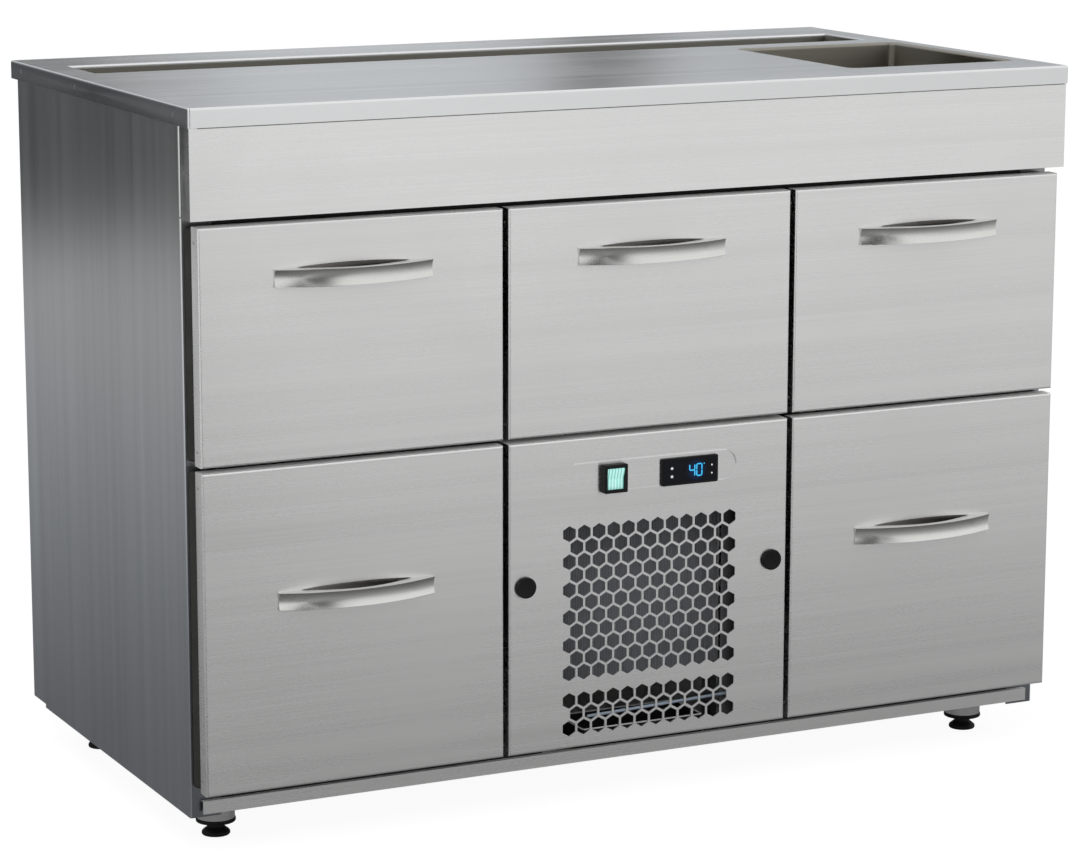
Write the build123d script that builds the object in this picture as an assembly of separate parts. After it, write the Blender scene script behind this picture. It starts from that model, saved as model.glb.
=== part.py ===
from build123d import *
import math
import os

# Refrigerated bar counter: stainless body on levelling feet, five drawers, a technical compartment.
# Millimetres. +Z up, front towards -Y, origin on the floor under the middle of the whole object.

# Overall size of the worktop
width = 1200.0
depth = 650.0
height = 900.0

# Worktop and the body under it
worktop_edge = 23.0
worktop_edge_radius = 2.8
worktop_corner_radius = 3.2
side_overhang = 3.2
rear_overhang = 19.0
skin = 1.5
notch_length = 48.0
notch_height = 5.0

# Rear trough, welded under the worktop's turned-down lip, and basin, welded flush into the worktop
pressed_sheet = 1.5
trough_lip_radius = 2.5
trough_width = 105.0
trough_side_margin = 42.5
trough_rear_margin = 109.0
basin_width = 240.0
basin_right_margin = 28.0
basin_front_margin = 90.0
basin_trough_gap = 52.0
basin_corner_radius = 10.0
basin_bend_radius = 4.0
well_floor_gap = 22.0
waste_radius = 21.0
waste_wall = 2.0
waste_end_gap = 5.0

# Fascia panel under the worktop's front edge, and the bend along the side panels' front
fascia_height = 107.5
fascia_setback = 2.4
fascia_inset = 1.8
fascia_return = 28.0
fascia_fold = 20.0
side_bend_radius = 2.4

# Drawer fronts
front_setback = 3.0
front_margin = 10.3
front_gap = 6.8
row_gap = 6.5
fascia_gap = 8.0
upper_front_height = 281.6
front_thickness = 20.5
front_edge_radius = 2.5
land_side = 32.0
land_end = 22.0
plug_clearance = 6.0
plug_depth = 24.0

# Door gaskets
gasket_thickness = 17.5
gasket_width = 16.0
gasket_inset = 1.5
gasket_groove = 3.0
seal_clearance = 0.3

# Bow handles, with a finger pocket that runs from the bow into the drawer front
handle_length = 201.0
handle_height = 21.0
handle_bow = 21.0
handle_stub = 4.0
handle_wall = 3.2
handle_groove = 2.5
handle_rim = 0.5
handle_floor = 3.0
handle_drop_upper = 53.5
handle_drop_lower = 151.0
pocket_length = 145.0
pocket_tip_depth = 5.0
pocket_depth = 22.0
pocket_rise = 3.6

# Drawer boxes and their telescopic runners
box_sheet = 1.5
box_lift = 12.0
box_headroom = 25.0
box_rear_gap = 30.0
runner_height = 42.0
runner_sheet = 1.6
runner_play = 0.6
runner_lip = 9.0
runner_rise = 60.0
runner_front_gap = 4.0
runner_end_gap = 44.0

# Insulated body
ceiling_thickness = 45.0
back_insulation = 40.0
cross_rail_depth = 45.0

# Base frame, front rail and levelling feet
foot_height = 48.0
rail_lift = 5.0
rail_height = 16.0
rail_gap = 14.0
rail_proud = 7.0
rail_inset = 13.6
base_sheet = 2.0
foot_side_inset = 63.0
foot_front_inset = 74.0
foot_rear_inset = 96.0
socket_radius = 23.5
foot_rim_radius = 24.5
foot_rim_height = 5.0
foot_neck_radius = 10.0
foot_neck_height = 7.0
foot_pad_radius = 17.5
foot_pad_height = 10.0
foot_pad_edge = 4.0
foot_stud_radius = 6.0
foot_stud_gap = 6.0
foot_play = 0.3

# Service panel with its honeycomb grille
hexagon_pitch = 20.35
hexagon_bar = 3.05
grille_margin = 70.0
grille_drop = 117.7
grille_lift = 25.4
solid_row = 3

# Switch, thermostat and thumb screws on the service panel
control_drop = 53.0
switch_offset = -52.3
bezel_width = 32.0
bezel_height = 35.5
bezel_reach = 9.0
bezel_body_depth = 14.0
bezel_step = 1.5
bezel_wall = 4.6
rocker_sink = 6.0
rocker_recess = 1.0
rocker_dish = 2.0
rocker_tilt = 10.0
rocker_play = 0.4
rocker_pin_radius = 1.5
rocker_pin_length = 2.0
rocker_pin_play = 0.08
thermostat_offset = 53.5
thermostat_width = 79.4
thermostat_height = 34.6
thermostat_reach = 3.0
thermostat_corner_radius = 2.5
thermostat_step = 3.0
thermostat_body_depth = 45.0
button_offset = -25.5
button_upper = 4.5
button_lower = -5.8
button_radius = 1.7
button_proud = 0.6
button_length = 3.0
button_play = 0.2
button_travel = 0.5
panel_play = 0.3
screw_edge = 9.7
screw_drop = 179.1
screw_head_radius = 13.2
screw_head_length = 5.0
screw_head_edge = 1.5
screw_shank_radius = 4.0
screw_shank_reach = 18.0
screw_play = 0.3

# Condensing unit in the technical compartment
condenser_gap = 12.0
condenser_side_gap = 38.0
condenser_thickness = 40.0
condenser_margin = 10.0
condenser_plate = 2.0
fan_radius = 84.0
fan_tip_gap = 4.0
fan_front_gap = 3.0
fan_rear_gap = 6.0
fan_ring_wall = 2.0
fan_ring_edge = 6.0
fan_hub_radius = 26.0
fan_hub_length = 22.0
fan_blade_count = 5
fan_blade_chord = 34.0
fan_blade_pitch = 32.0
fan_blade_thickness = 1.6
fan_blade_root = 3.0
fan_shaft_radius = 4.0
fan_running_play = 0.06
motor_radius = 36.0
motor_length = 48.0
motor_arm_count = 3
motor_arm_width = 10.0
motor_arm_thickness = 3.0
compressor_radius = 75.0
compressor_height = 150.0
compressor_dome = 22.0
compressor_plate = 3.0
compressor_plate_size = 150.0
compressor_mount_radius = 10.0
compressor_mount_height = 16.0
pipe_port_length = 14.0
pipe_port_radius = 8.0
pipe_port_rise = 70.0
tray_width = 170.0
tray_offset = 18.0
tray_length = 75.0
tray_height = 33.0
tray_sheet = 1.2
pipe_radius = 4.0
pipe_bend = 12.0
pipe_rise = 30.0
pipe_wall_gap = 14.0
pipe_pair_gap = 22.0
pipe_hole_play = 2.0

# Evaporator in the middle chamber
evaporator_depth = 70.0
evaporator_side_gap = 6.0
evaporator_end_gap = 8.0
evaporator_fan_radius = 68.0

# Vent slots and cable gland in the back panel
vent_slot_count = 8
vent_slot_height = 8.0
vent_slot_pitch = 26.0
vent_slot_margin = 40.0
vent_lift = 90.0
gland_inset = 52.0
gland_rise = 45.0
gland_bore = 5.5
gland_thread_radius = 9.0
gland_nut_flats = 24.0
gland_nut_length = 6.0
gland_cap_radius = 9.5
gland_cap_length = 8.0
gland_cap_land = 1.0

# Planes across the depth, front to rear
handle_reach = handle_stub + handle_bow - front_setback
front_y = (handle_reach - depth) / 2
rear_y = front_y + depth
face_y = front_y + front_setback
pan_back_y = face_y + front_thickness
body_front_y = pan_back_y + gasket_thickness
body_rear_y = rear_y - rear_overhang
plug_back_y = body_front_y + plug_depth
chamber_back_y = body_rear_y - skin - back_insulation

# Levels from the floor up
edge_z = height - worktop_edge
fascia_z = edge_z - fascia_height
upper_top_z = fascia_z - fascia_gap
upper_bottom_z = upper_top_z - upper_front_height
lower_top_z = upper_bottom_z - row_gap
rail_bottom_z = foot_height + rail_lift
rail_top_z = rail_bottom_z + rail_height
lower_bottom_z = rail_top_z + rail_gap
base_top_z = rail_bottom_z + base_sheet
upper_open = (upper_bottom_z + land_end, upper_top_z - land_end)
lower_open = (lower_bottom_z + land_end, lower_top_z - land_end)
ceiling_top_z = upper_open[1] + ceiling_thickness
well_floor_z = ceiling_top_z + well_floor_gap

# Half widths and column centres
body_half = width / 2 - side_overhang
inner_half = body_half - skin
front_width = (width - 2 * front_margin - 2 * front_gap) / 3
column_pitch = front_width + front_gap
open_half = front_width / 2 - land_side
chamber_half = column_pitch + open_half
partition_half = front_gap / 2 + land_side

# The five drawers: name, column, the front's lower and upper edges, its opening, the handle's drop
upper_row = (upper_bottom_z, upper_top_z, upper_open, handle_drop_upper)
lower_row = (lower_bottom_z, lower_top_z, lower_open, handle_drop_lower)
drawers = [
    ("upper_left", -1, upper_row),
    ("upper_middle", 0, upper_row),
    ("upper_right", 1, upper_row),
    ("lower_left", -1, lower_row),
    ("lower_right", 1, lower_row),
]


def block(x_range, y_range, z_range):
    """A box given by its lower and upper limits along each axis."""
    sizes = [limits[1] - limits[0] for limits in (x_range, y_range, z_range)]
    middle = [(limits[0] + limits[1]) / 2 for limits in (x_range, y_range, z_range)]
    return Pos(*middle) * Box(*sizes)


def rod(radius, centre_x, centre_z, y_range):
    """A round bar along Y."""
    middle = (y_range[0] + y_range[1]) / 2
    return Pos(centre_x, middle, centre_z) * Rot(90, 0, 0) * Cylinder(radius, y_range[1] - y_range[0])


def column(radius, centre_x, centre_y, z_range):
    """A round bar along Z."""
    middle = (z_range[0] + z_range[1]) / 2
    return Pos(centre_x, centre_y, middle) * Cylinder(radius, z_range[1] - z_range[0])


def both_sides(x_range):
    """The same stretch of X on the left and on the right."""
    return [(-x_range[1], -x_range[0]), (x_range[0], x_range[1])]


def grown(limits, amount):
    """A stretch made longer by the same amount at both ends."""
    return (limits[0] - amount, limits[1] + amount)


def group(solids):
    """Separate pieces that share one node."""
    return Compound(children=list(solids))


# Worktop, trough and basin
trough_x = (trough_side_margin - width / 2, width / 2 - trough_side_margin)
trough_rear_y = rear_y - trough_rear_margin
trough_y = (trough_rear_y - trough_width, trough_rear_y)
basin_right_x = width / 2 - basin_right_margin
basin_x = (basin_right_x - basin_width, basin_right_x)
basin_y = (front_y + basin_front_margin, trough_y[0] - basin_trough_gap)
inside_z = (well_floor_z + pressed_sheet, height + pressed_sheet)
trough_top_z = height - trough_lip_radius - pressed_sheet
basin_rim = basin_bend_radius + pressed_sheet


def basin_prism(wall, z_range):
    """The basin's plan with rounded corners, a wall thicker than its inside, between two levels."""
    x_range = grown(basin_x, wall)
    y_range = grown(basin_y, wall)
    solid = block(x_range, y_range, z_range)
    return fillet(solid.edges().filter_by(Axis.Z), basin_corner_radius + wall)


def make_worktop():
    top = block((-width / 2, width / 2), (front_y, rear_y), (edge_z, height))
    top = fillet(top.edges().filter_by(Axis.Z), worktop_corner_radius)
    top = fillet(top.faces().sort_by(Axis.Z)[-1].edges(), worktop_edge_radius)
    through = grown((edge_z, height), pressed_sheet)
    top -= block(trough_x, trough_y, through)
    lip = top.faces().sort_by(Axis.Z)[-1].inner_wires()[0]
    top = fillet(lip.edges(), trough_lip_radius)
    under_lip = (through[0], trough_top_z)
    top -= block(grown(trough_x, pressed_sheet), grown(trough_y, pressed_sheet), under_lip)
    return top - basin_prism(basin_rim, through)


def make_rear_trough():
    z_range = (well_floor_z, trough_top_z)
    outer = block(grown(trough_x, pressed_sheet), grown(trough_y, pressed_sheet), z_range)
    return outer - block(trough_x, trough_y, inside_z)


def make_basin():
    centre_x = sum(basin_x) / 2
    centre_y = sum(basin_y) / 2
    outlet = (ceiling_top_z + waste_end_gap, well_floor_z)
    shell = basin_prism(pressed_sheet, (well_floor_z, height))
    shell += basin_prism(basin_rim, (height - basin_rim, height))
    shell -= basin_prism(0, inside_z)
    mouth = shell.faces().sort_by(Axis.Z)[-1].inner_wires()[0]
    shell = fillet(mouth.edges(), basin_bend_radius)
    shell += column(waste_radius + waste_wall, centre_x, centre_y, outlet)
    return shell - column(waste_radius, centre_x, centre_y, (outlet[0] - waste_wall, height))


# Outer panels
def make_fascia_panel():
    half = width / 2 - fascia_inset
    panel_y = front_y + fascia_setback
    z_range = (fascia_z, edge_z)
    panel = block((-half, half), (panel_y, panel_y + skin), z_range)
    panel += block((-half, half), (panel_y, body_front_y), (fascia_z, fascia_z + skin))
    panel += block((-half, half), (panel_y, panel_y + fascia_fold), (edge_z - skin, edge_z))
    for x_range in both_sides((half - skin, half)):
        panel += block(x_range, (panel_y, panel_y + fascia_return), z_range)
    return panel


def make_side_panel(side):
    """Side sheet with a front flange that ends at the drawer openings; side is -1 or 1."""
    sheet_x = sorted((side * inner_half, side * body_half))
    flange_x = sorted((side * chamber_half, side * body_half))
    z_range = (foot_height, edge_z)
    panel = block(sheet_x, (body_front_y, body_rear_y), z_range)
    panel += block(flange_x, (body_front_y, body_front_y + skin), z_range)
    bend = panel.edges().filter_by(Axis.Z).sort_by_distance((side * body_half, body_front_y, sum(z_range) / 2))[0]
    panel = fillet(bend, side_bend_radius)
    notch_y = (body_rear_y - notch_length, body_rear_y + skin)
    notch_z = (foot_height - skin, foot_height + notch_height)
    return panel - block(grown(sheet_x, skin), notch_y, notch_z)


gland_x = open_half - gland_inset
gland_z = base_top_z + gland_rise


def make_back_panel():
    sheet_y = (body_rear_y - skin, body_rear_y)
    through = grown(sheet_y, skin)
    panel = block((-inner_half, inner_half), sheet_y, (rail_bottom_z, edge_z))
    slot_half = open_half - vent_slot_margin
    for row in range(vent_slot_count):
        centre_z = base_top_z + vent_lift + row * vent_slot_pitch
        slot_z = (centre_z - vent_slot_height / 2, centre_z + vent_slot_height / 2)
        panel -= block((-slot_half, slot_half), through, slot_z)
    return panel - rod(gland_thread_radius, gland_x, gland_z, through)


def make_cable_gland():
    """Threaded sleeve between two hexagon nuts, with a domed end that a cable would leave by."""
    hexagon = RegularPolygon(gland_nut_flats / 2, 6, major_radius=False)

    def nut(y_start):
        plane = Plane.XZ.offset(-y_start - gland_nut_length)
        return extrude(plane * Pos(gland_x, gland_z) * hexagon, gland_nut_length)

    inner_y = body_rear_y - skin - gland_nut_length
    outer_y = body_rear_y + gland_nut_length
    cap_y = (outer_y, outer_y + gland_cap_length)
    gland = rod(gland_thread_radius, gland_x, gland_z, (inner_y, outer_y))
    gland += nut(inner_y)
    gland += nut(body_rear_y)
    cap = rod(gland_cap_radius, gland_x, gland_z, cap_y)
    gland += fillet(cap.faces().sort_by(Axis.Y)[-1].edges(), gland_cap_radius - gland_bore - gland_cap_land)
    return gland - rod(gland_bore, gland_x, gland_z, grown((inner_y, cap_y[1]), skin))


def make_base_frame():
    """Base sheet under the body, folded into a C-shaped rail along the front."""
    rail_half = body_half - rail_inset
    rail_y = body_front_y - rail_proud
    behind_flange_y = body_front_y + skin
    base_z = (rail_bottom_z, base_top_z)
    frame = block((-inner_half, inner_half), (behind_flange_y, body_rear_y - skin), base_z)
    frame += block((-chamber_half, chamber_half), (rail_y, behind_flange_y), base_z)
    frame += block((-rail_half, rail_half), (rail_y, rail_y + base_sheet), (rail_bottom_z, rail_top_z))
    for level in (rail_bottom_z, rail_top_z - base_sheet):
        frame += block((-rail_half, rail_half), (rail_y, body_front_y), (level, level + base_sheet))
    return frame


# Insulated body
partition_x = both_sides((column_pitch / 2 - partition_half, column_pitch / 2 + partition_half))
outer_chamber_x = both_sides((column_pitch / 2 + partition_half, chamber_half))
screw_x = open_half + screw_edge
screw_z = lower_top_z - screw_drop


def make_cabinet_insulation():
    slabs = []
    for x_range in both_sides((chamber_half, inner_half)):
        slabs.append(block(x_range, (body_front_y + skin, body_rear_y - skin), (base_top_z, ceiling_top_z)))
    back_y = (chamber_back_y, body_rear_y - skin)
    slabs.append(block((-chamber_half, chamber_half), back_y, (lower_open[1], upper_open[1])))
    for x_range in both_sides((open_half, chamber_half)):
        slabs.append(block(x_range, back_y, (base_top_z, lower_open[1])))
    ceiling_y = (body_front_y, body_rear_y - skin)
    slabs.append(block((-chamber_half, chamber_half), ceiling_y, (upper_open[1], ceiling_top_z)))
    return group(slabs)


def make_partition_walls():
    walls = []
    for side, x_range in zip((-1, 1), partition_x):
        wall = block(x_range, (body_front_y, chamber_back_y), (base_top_z, upper_open[1]))
        hole_y = (body_front_y - screw_play, body_front_y + screw_shank_reach + screw_play)
        walls.append(wall - rod(screw_shank_radius + screw_play, side * screw_x, screw_z, hole_y))
    return group(walls)


def make_chamber_floors():
    floor_y = (body_front_y, chamber_back_y)
    floors = [block(x_range, floor_y, (base_top_z, lower_open[0])) for x_range in outer_chamber_x]
    roof_z = (lower_open[1], upper_open[0])
    roof = block((-open_half, open_half), floor_y, roof_z)
    for pipe_x in (suction_x, liquid_x):
        roof -= column(pipe_radius + pipe_hole_play, pipe_x, evaporator_y, grown(roof_z, pipe_radius))
    return group(floors + [roof])


def make_cross_rails():
    rail_y = (body_front_y, body_front_y + cross_rail_depth)
    return group(block(x_range, rail_y, (lower_open[1], upper_open[0])) for x_range in outer_chamber_x)


# Levelling feet
foot_x = width / 2 - foot_side_inset
foot_places = {
    "front_left": (-foot_x, body_front_y + foot_front_inset),
    "front_right": (foot_x, body_front_y + foot_front_inset),
    "rear_left": (-foot_x, body_rear_y - foot_rear_inset),
    "rear_right": (foot_x, body_rear_y - foot_rear_inset),
}
foot_top_z = foot_pad_height + foot_neck_height + foot_rim_height


def make_foot_sockets():
    sockets = []
    for place in foot_places.values():
        socket = column(socket_radius, *place, (foot_top_z + foot_play, rail_bottom_z))
        stud_z = (foot_top_z, rail_bottom_z - foot_stud_gap + foot_play)
        sockets.append(socket - column(foot_stud_radius + foot_play, *place, stud_z))
    return group(sockets)


def make_foot(place):
    """Turned foot: flared pad, neck, rim and stud, spun about its own axis."""
    neck_z = foot_pad_height + foot_neck_height
    stud_z = rail_bottom_z - foot_stud_gap
    outline = Polyline(
        (0, 0), (foot_pad_radius, 0), (foot_pad_radius, foot_pad_edge), (foot_neck_radius, foot_pad_height),
        (foot_neck_radius, neck_z), (foot_rim_radius, neck_z), (foot_rim_radius, foot_top_z),
        (foot_stud_radius, foot_top_z), (foot_stud_radius, stud_z), (0, stud_z), close=True)
    return Pos(*place, 0) * revolve(Plane.XZ * make_face(outline), Axis.Z)


# Drawers
def lens_face(level):
    """Plan of the finger pocket: two arcs that meet at the pocket's tips."""
    half = pocket_length / 2
    tip_y = face_y + pocket_tip_depth
    bow_y = face_y - handle_stub - handle_bow + handle_wall
    front_arc = ThreePointArc((-half, tip_y), (0, bow_y), (half, tip_y))
    rear_arc = ThreePointArc((half, tip_y), (0, face_y + pocket_depth), (-half, tip_y))
    return Pos(0, 0, level) * make_face([front_arc, rear_arc])


def finger_pocket(grip_z):
    """The pocket behind and inside the bow, and the sloped scoop above it."""
    depth_down = handle_height - handle_floor
    straight = extrude(lens_face(grip_z - depth_down), depth_down)
    slope = Vector(0, -pocket_depth, pocket_rise)
    scoop = extrude(lens_face(grip_z), 2 * slope.length, dir=slope.normalized())
    return straight + scoop


def make_drawer_front(centre_x, z_range, grip_z):
    half = front_width / 2
    pan = block((-half, half), (face_y, pan_back_y), z_range)
    pan = fillet(pan.faces().sort_by(Axis.Y)[0].edges(), front_edge_radius)
    plug_half = open_half - plug_clearance
    plug_z = grown(z_range, -land_end - plug_clearance)
    front = pan + block((-plug_half, plug_half), (pan_back_y, plug_back_y), plug_z)
    return Pos(centre_x, 0, 0) * (front - finger_pocket(grip_z))


def make_handle(centre_x, grip_z):
    """Bow: a segment in plan with a hollow front face and the finger pocket cut into its top."""
    half = handle_length / 2
    stub_y = face_y - handle_stub
    bow_y = stub_y - handle_bow
    arc = ThreePointArc((-half, stub_y), (0, bow_y), (half, stub_y))
    sides = Polyline((half, stub_y), (half, face_y), (-half, face_y), (-half, stub_y))
    bow = extrude(Pos(0, 0, grip_z - handle_height) * make_face([arc, sides]), handle_height)
    bow_radius = (half * half + handle_bow * handle_bow) / (2 * handle_bow)
    hollow_half = handle_height / 2 - handle_rim
    edge = bow_radius + handle_groove
    low, high = (bow_radius, -hollow_half), (bow_radius, hollow_half)
    groove = ThreePointArc(low, (bow_radius - handle_groove, 0), high)
    outside = Polyline(high, (edge, hollow_half), (edge, -hollow_half), low)
    ring = revolve(Plane.XZ * make_face([groove, outside]), Axis.Z)
    bow -= Pos(0, bow_y + bow_radius, grip_z - handle_height / 2) * ring
    return Pos(centre_x, 0, 0) * (bow - finger_pocket(grip_z))


def frame_ring(x_half, z_range, wall, y_range):
    """A rectangular ring in the XZ plane."""
    outer = block((-x_half, x_half), y_range, z_range)
    hole_x = grown((-x_half, x_half), -wall)
    return outer - block(hole_x, grown(y_range, wall), grown(z_range, -wall))


def make_gasket(centre_x, z_range):
    """Bellows seal between the drawer front and the body, with a groove round its outer side."""
    half = front_width / 2 - gasket_inset
    seal_z = grown(z_range, -gasket_inset)
    seal_y = (pan_back_y, body_front_y - seal_clearance)
    middle = sum(seal_y) / 2
    groove_y = (middle - gasket_groove / 2, middle + gasket_groove / 2)
    ring = frame_ring(half, seal_z, gasket_width, seal_y)
    ring -= frame_ring(half + gasket_groove, grown(seal_z, gasket_groove), 2 * gasket_groove, groove_y)
    return Pos(centre_x, 0, 0) * ring


nesting = runner_sheet + runner_play
box_half = open_half - runner_lip - 2 * nesting
runner_y = (plug_back_y + runner_front_gap, chamber_back_y - evaporator_depth - runner_end_gap)


def runner_level(opening):
    return opening[0] + box_lift + runner_rise


def runner_section(outer_x, lip_x, half_height, level):
    """One C-section runner along Y: a web at outer_x and two lips that reach to lip_x."""
    section_z = grown((level, level), half_height)
    web = block(sorted((outer_x, lip_x)), runner_y, section_z)
    sheet = math.copysign(runner_sheet, lip_x - outer_x)
    hollow_x = sorted((outer_x + sheet, lip_x + sheet))
    return web - block(hollow_x, grown(runner_y, runner_sheet), grown(section_z, -runner_sheet))


def runner_pair(inward, shrink, opening):
    """Left and right runner of one drawer, moved inward from the chamber wall and shrunk to nest."""
    pair = []
    for side in (-1, 1):
        outer_x = side * (open_half - inward)
        lip_x = side * (open_half - inward - runner_lip)
        pair.append(runner_section(outer_x, lip_x, runner_height / 2 - shrink, runner_level(opening)))
    return pair


def make_cabinet_runners():
    runners = []
    for name, side, (bottom_z, top_z, opening, handle_drop) in drawers:
        for runner in runner_pair(0, 0, opening):
            runners.append(Pos(side * column_pitch, 0, 0) * runner)
    return group(runners)


def make_mid_runners(centre_x, opening):
    return group(Pos(centre_x, 0, 0) * runner for runner in runner_pair(nesting, nesting, opening))


def make_drawer_box(centre_x, side, opening):
    """Open box behind the plug, with the drawer's own runner bars along its sides."""
    rear_stop_y = chamber_back_y if side else chamber_back_y - evaporator_depth
    box_y = (plug_back_y, rear_stop_y - box_rear_gap)
    box_z = (opening[0] + box_lift, opening[1] - box_headroom)
    box = block((-box_half, box_half), box_y, box_z)
    inside_x = grown((-box_half, box_half), -box_sheet)
    box -= block(inside_x, grown(box_y, -box_sheet), (box_z[0] + box_sheet, box_z[1] + box_sheet))
    bar_half = runner_height / 2 - 2 * nesting
    level = runner_level(opening)
    bar_outer = open_half - 2 * nesting
    bar_y = (plug_back_y, runner_y[1])
    for x_range in both_sides((box_half, bar_outer)):
        box += block(x_range, bar_y, (level - bar_half, level + bar_half))
    return Pos(centre_x, 0, 0) * box


# Service panel
panel_z = (lower_bottom_z, lower_top_z)
control_z = lower_top_z - control_drop
row_pitch = hexagon_pitch * math.sqrt(3) / 2
first_row_z = lower_bottom_z + grille_lift
grille_rows = int((panel_z[1] - grille_drop - first_row_z) / row_pitch + 0.5) + 1
grille_columns = int((front_width - 2 * grille_margin) / hexagon_pitch)


def honeycomb():
    """Pointed hexagons in staggered rows, with one row left solid between two fields."""
    hexagon = RegularPolygon((hexagon_pitch - hexagon_bar) / 2, 6, major_radius=False, rotation=30)
    holes = []
    for row in range(grille_rows):
        count = grille_columns - row % 2
        if row == solid_row:
            continue
        for index in range(count):
            hole_x = (index - (count - 1) / 2) * hexagon_pitch
            holes.append(Pos(hole_x, first_row_z + row * row_pitch) * hexagon)
    return holes


def make_service_panel():
    """Folded pan whose face carries the grille, the controls and the thumb screws."""
    half = front_width / 2
    centre_z = sum(panel_z) / 2
    face = Pos(0, centre_z) * Rectangle(2 * half, panel_z[1] - panel_z[0])
    face -= honeycomb()
    body_width = bezel_width - 2 * bezel_step
    body_height = bezel_height - 2 * bezel_step
    face -= Pos(switch_offset, control_z) * Rectangle(body_width, body_height)
    face -= Pos(thermostat_offset, control_z) * Rectangle(
        thermostat_width - 2 * thermostat_step, thermostat_height - 2 * thermostat_step)
    for side in (-1, 1):
        face -= Pos(side * screw_x, screw_z) * Circle(screw_shank_radius + screw_play)
    sheet = extrude(Plane.XZ.offset(-face_y - skin) * face, skin)
    panel = sheet + frame_ring(half, panel_z, skin, (face_y, body_front_y - panel_play))
    return fillet(panel.faces().sort_by(Axis.Y)[0].outer_wire().edges(), front_edge_radius)


def make_thumb_screw(side):
    """Round knob on the panel's face, with a shank that reaches into the partition wall."""
    head_y = (face_y - panel_play - screw_head_length, face_y - panel_play)
    head = rod(screw_head_radius, side * screw_x, screw_z, head_y)
    head = fillet(head.faces().sort_by(Axis.Y)[0].edges(), screw_head_edge)
    shank_y = (head_y[1], body_front_y + screw_shank_reach)
    return head + rod(screw_shank_radius, side * screw_x, screw_z, shank_y)


# Switch and thermostat
bezel_front_y = face_y - bezel_reach
pivot_y = bezel_front_y + rocker_sink
rocker_width = bezel_width - 2 * bezel_wall
cavity_radius = math.hypot(bezel_height / 2 - bezel_wall, rocker_sink)
rocker_radius = cavity_radius - rocker_play
button_places = {"upper": control_z + button_upper, "lower": control_z + button_lower}
button_x = thermostat_offset + button_offset
thermostat_front_y = face_y - thermostat_reach


def bar_along_x(radius, half_length, y, z):
    return Pos(switch_offset, y, z) * Rot(0, 90, 0) * Cylinder(radius, 2 * half_length)


def make_switch_bezel():
    outer_x = grown((switch_offset, switch_offset), bezel_width / 2)
    outer_z = grown((control_z, control_z), bezel_height / 2)
    bezel = block(outer_x, (bezel_front_y, face_y), outer_z)
    bezel = fillet(bezel.edges().filter_by(Axis.Y), bezel_step)
    back_y = (face_y, face_y + bezel_body_depth)
    bezel += block(grown(outer_x, -bezel_step), back_y, grown(outer_z, -bezel_step))
    bezel -= bar_along_x(cavity_radius, rocker_width / 2 + rocker_play, pivot_y, control_z)
    pin_half = rocker_width / 2 + rocker_pin_length + rocker_play
    return bezel - bar_along_x(rocker_pin_radius + rocker_pin_play, pin_half, pivot_y, control_z)


def make_switch_rocker():
    """Rocker with a dished face and round ends, resting tilted to one side on two stub pins."""
    slab = bar_along_x(rocker_radius, rocker_width / 2, pivot_y, control_z)
    face_edge_y = bezel_front_y + rocker_recess
    dish_y = face_edge_y + rocker_dish
    reach = cavity_radius
    front_y_limit = pivot_y - reach
    dish = Polyline(
        (face_edge_y, control_z - reach), (dish_y, control_z), (face_edge_y, control_z + reach),
        (front_y_limit, control_z + reach), (front_y_limit, control_z - reach), close=True)
    dish_face = Plane.YZ.offset(switch_offset) * make_face(dish)
    slab -= extrude(dish_face, rocker_width, both=True)
    slab += bar_along_x(rocker_pin_radius, rocker_width / 2 + rocker_pin_length, pivot_y, control_z)
    pivot = Axis((switch_offset, pivot_y, control_z), (1, 0, 0))
    return slab.rotate(pivot, rocker_tilt)


def make_thermostat():
    outer_x = grown((thermostat_offset, thermostat_offset), thermostat_width / 2)
    outer_z = grown((control_z, control_z), thermostat_height / 2)
    body = block(outer_x, (thermostat_front_y, face_y), outer_z)
    body = fillet(body.edges().filter_by(Axis.Y), thermostat_corner_radius)
    back_y = (face_y, face_y + thermostat_body_depth)
    body += block(grown(outer_x, -thermostat_step), back_y, grown(outer_z, -thermostat_step))
    pressed_y = thermostat_front_y - button_proud + button_length + button_travel
    hole_y = (thermostat_front_y - button_proud, pressed_y + button_play)
    for button_z in button_places.values():
        body -= rod(button_radius + button_play, button_x, button_z, hole_y)
    return body


def make_thermostat_button(button_z):
    start_y = thermostat_front_y - button_proud
    return rod(button_radius, button_x, button_z, (start_y, start_y + button_length))


# Condensing unit
condenser_half = open_half - condenser_side_gap
upper_field_z = (first_row_z + (solid_row + 1) * row_pitch, first_row_z + (grille_rows - 1) * row_pitch)
condenser_z = grown(upper_field_z, hexagon_pitch / 2 + condenser_margin)
condenser_y = (body_front_y + condenser_gap, body_front_y + condenser_gap + condenser_thickness)
fan_z = sum(condenser_z) / 2
ring_inner_radius = fan_radius + fan_tip_gap
ring_outer_radius = ring_inner_radius + fan_ring_wall
shroud_half = max(condenser_half, ring_outer_radius + fan_ring_edge)
shroud_z = grown((fan_z, fan_z), max(fan_z - condenser_z[0], ring_outer_radius + fan_ring_edge))
hub_y = (condenser_y[1] + fan_front_gap, condenser_y[1] + fan_front_gap + fan_hub_length)
arm_y = (hub_y[1] + fan_rear_gap, hub_y[1] + fan_rear_gap + motor_arm_thickness)
motor_rear_y = arm_y[1] + motor_length
compressor_y = (motor_rear_y + body_rear_y - skin) / 2
compressor_base_z = base_top_z + compressor_mount_height + compressor_plate
compressor_z = (compressor_base_z, compressor_base_z + compressor_height)
port_x = compressor_radius + pipe_port_length
discharge_z = compressor_z[0] + pipe_port_rise
suction_z = compressor_z[1] + pipe_port_length


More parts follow.
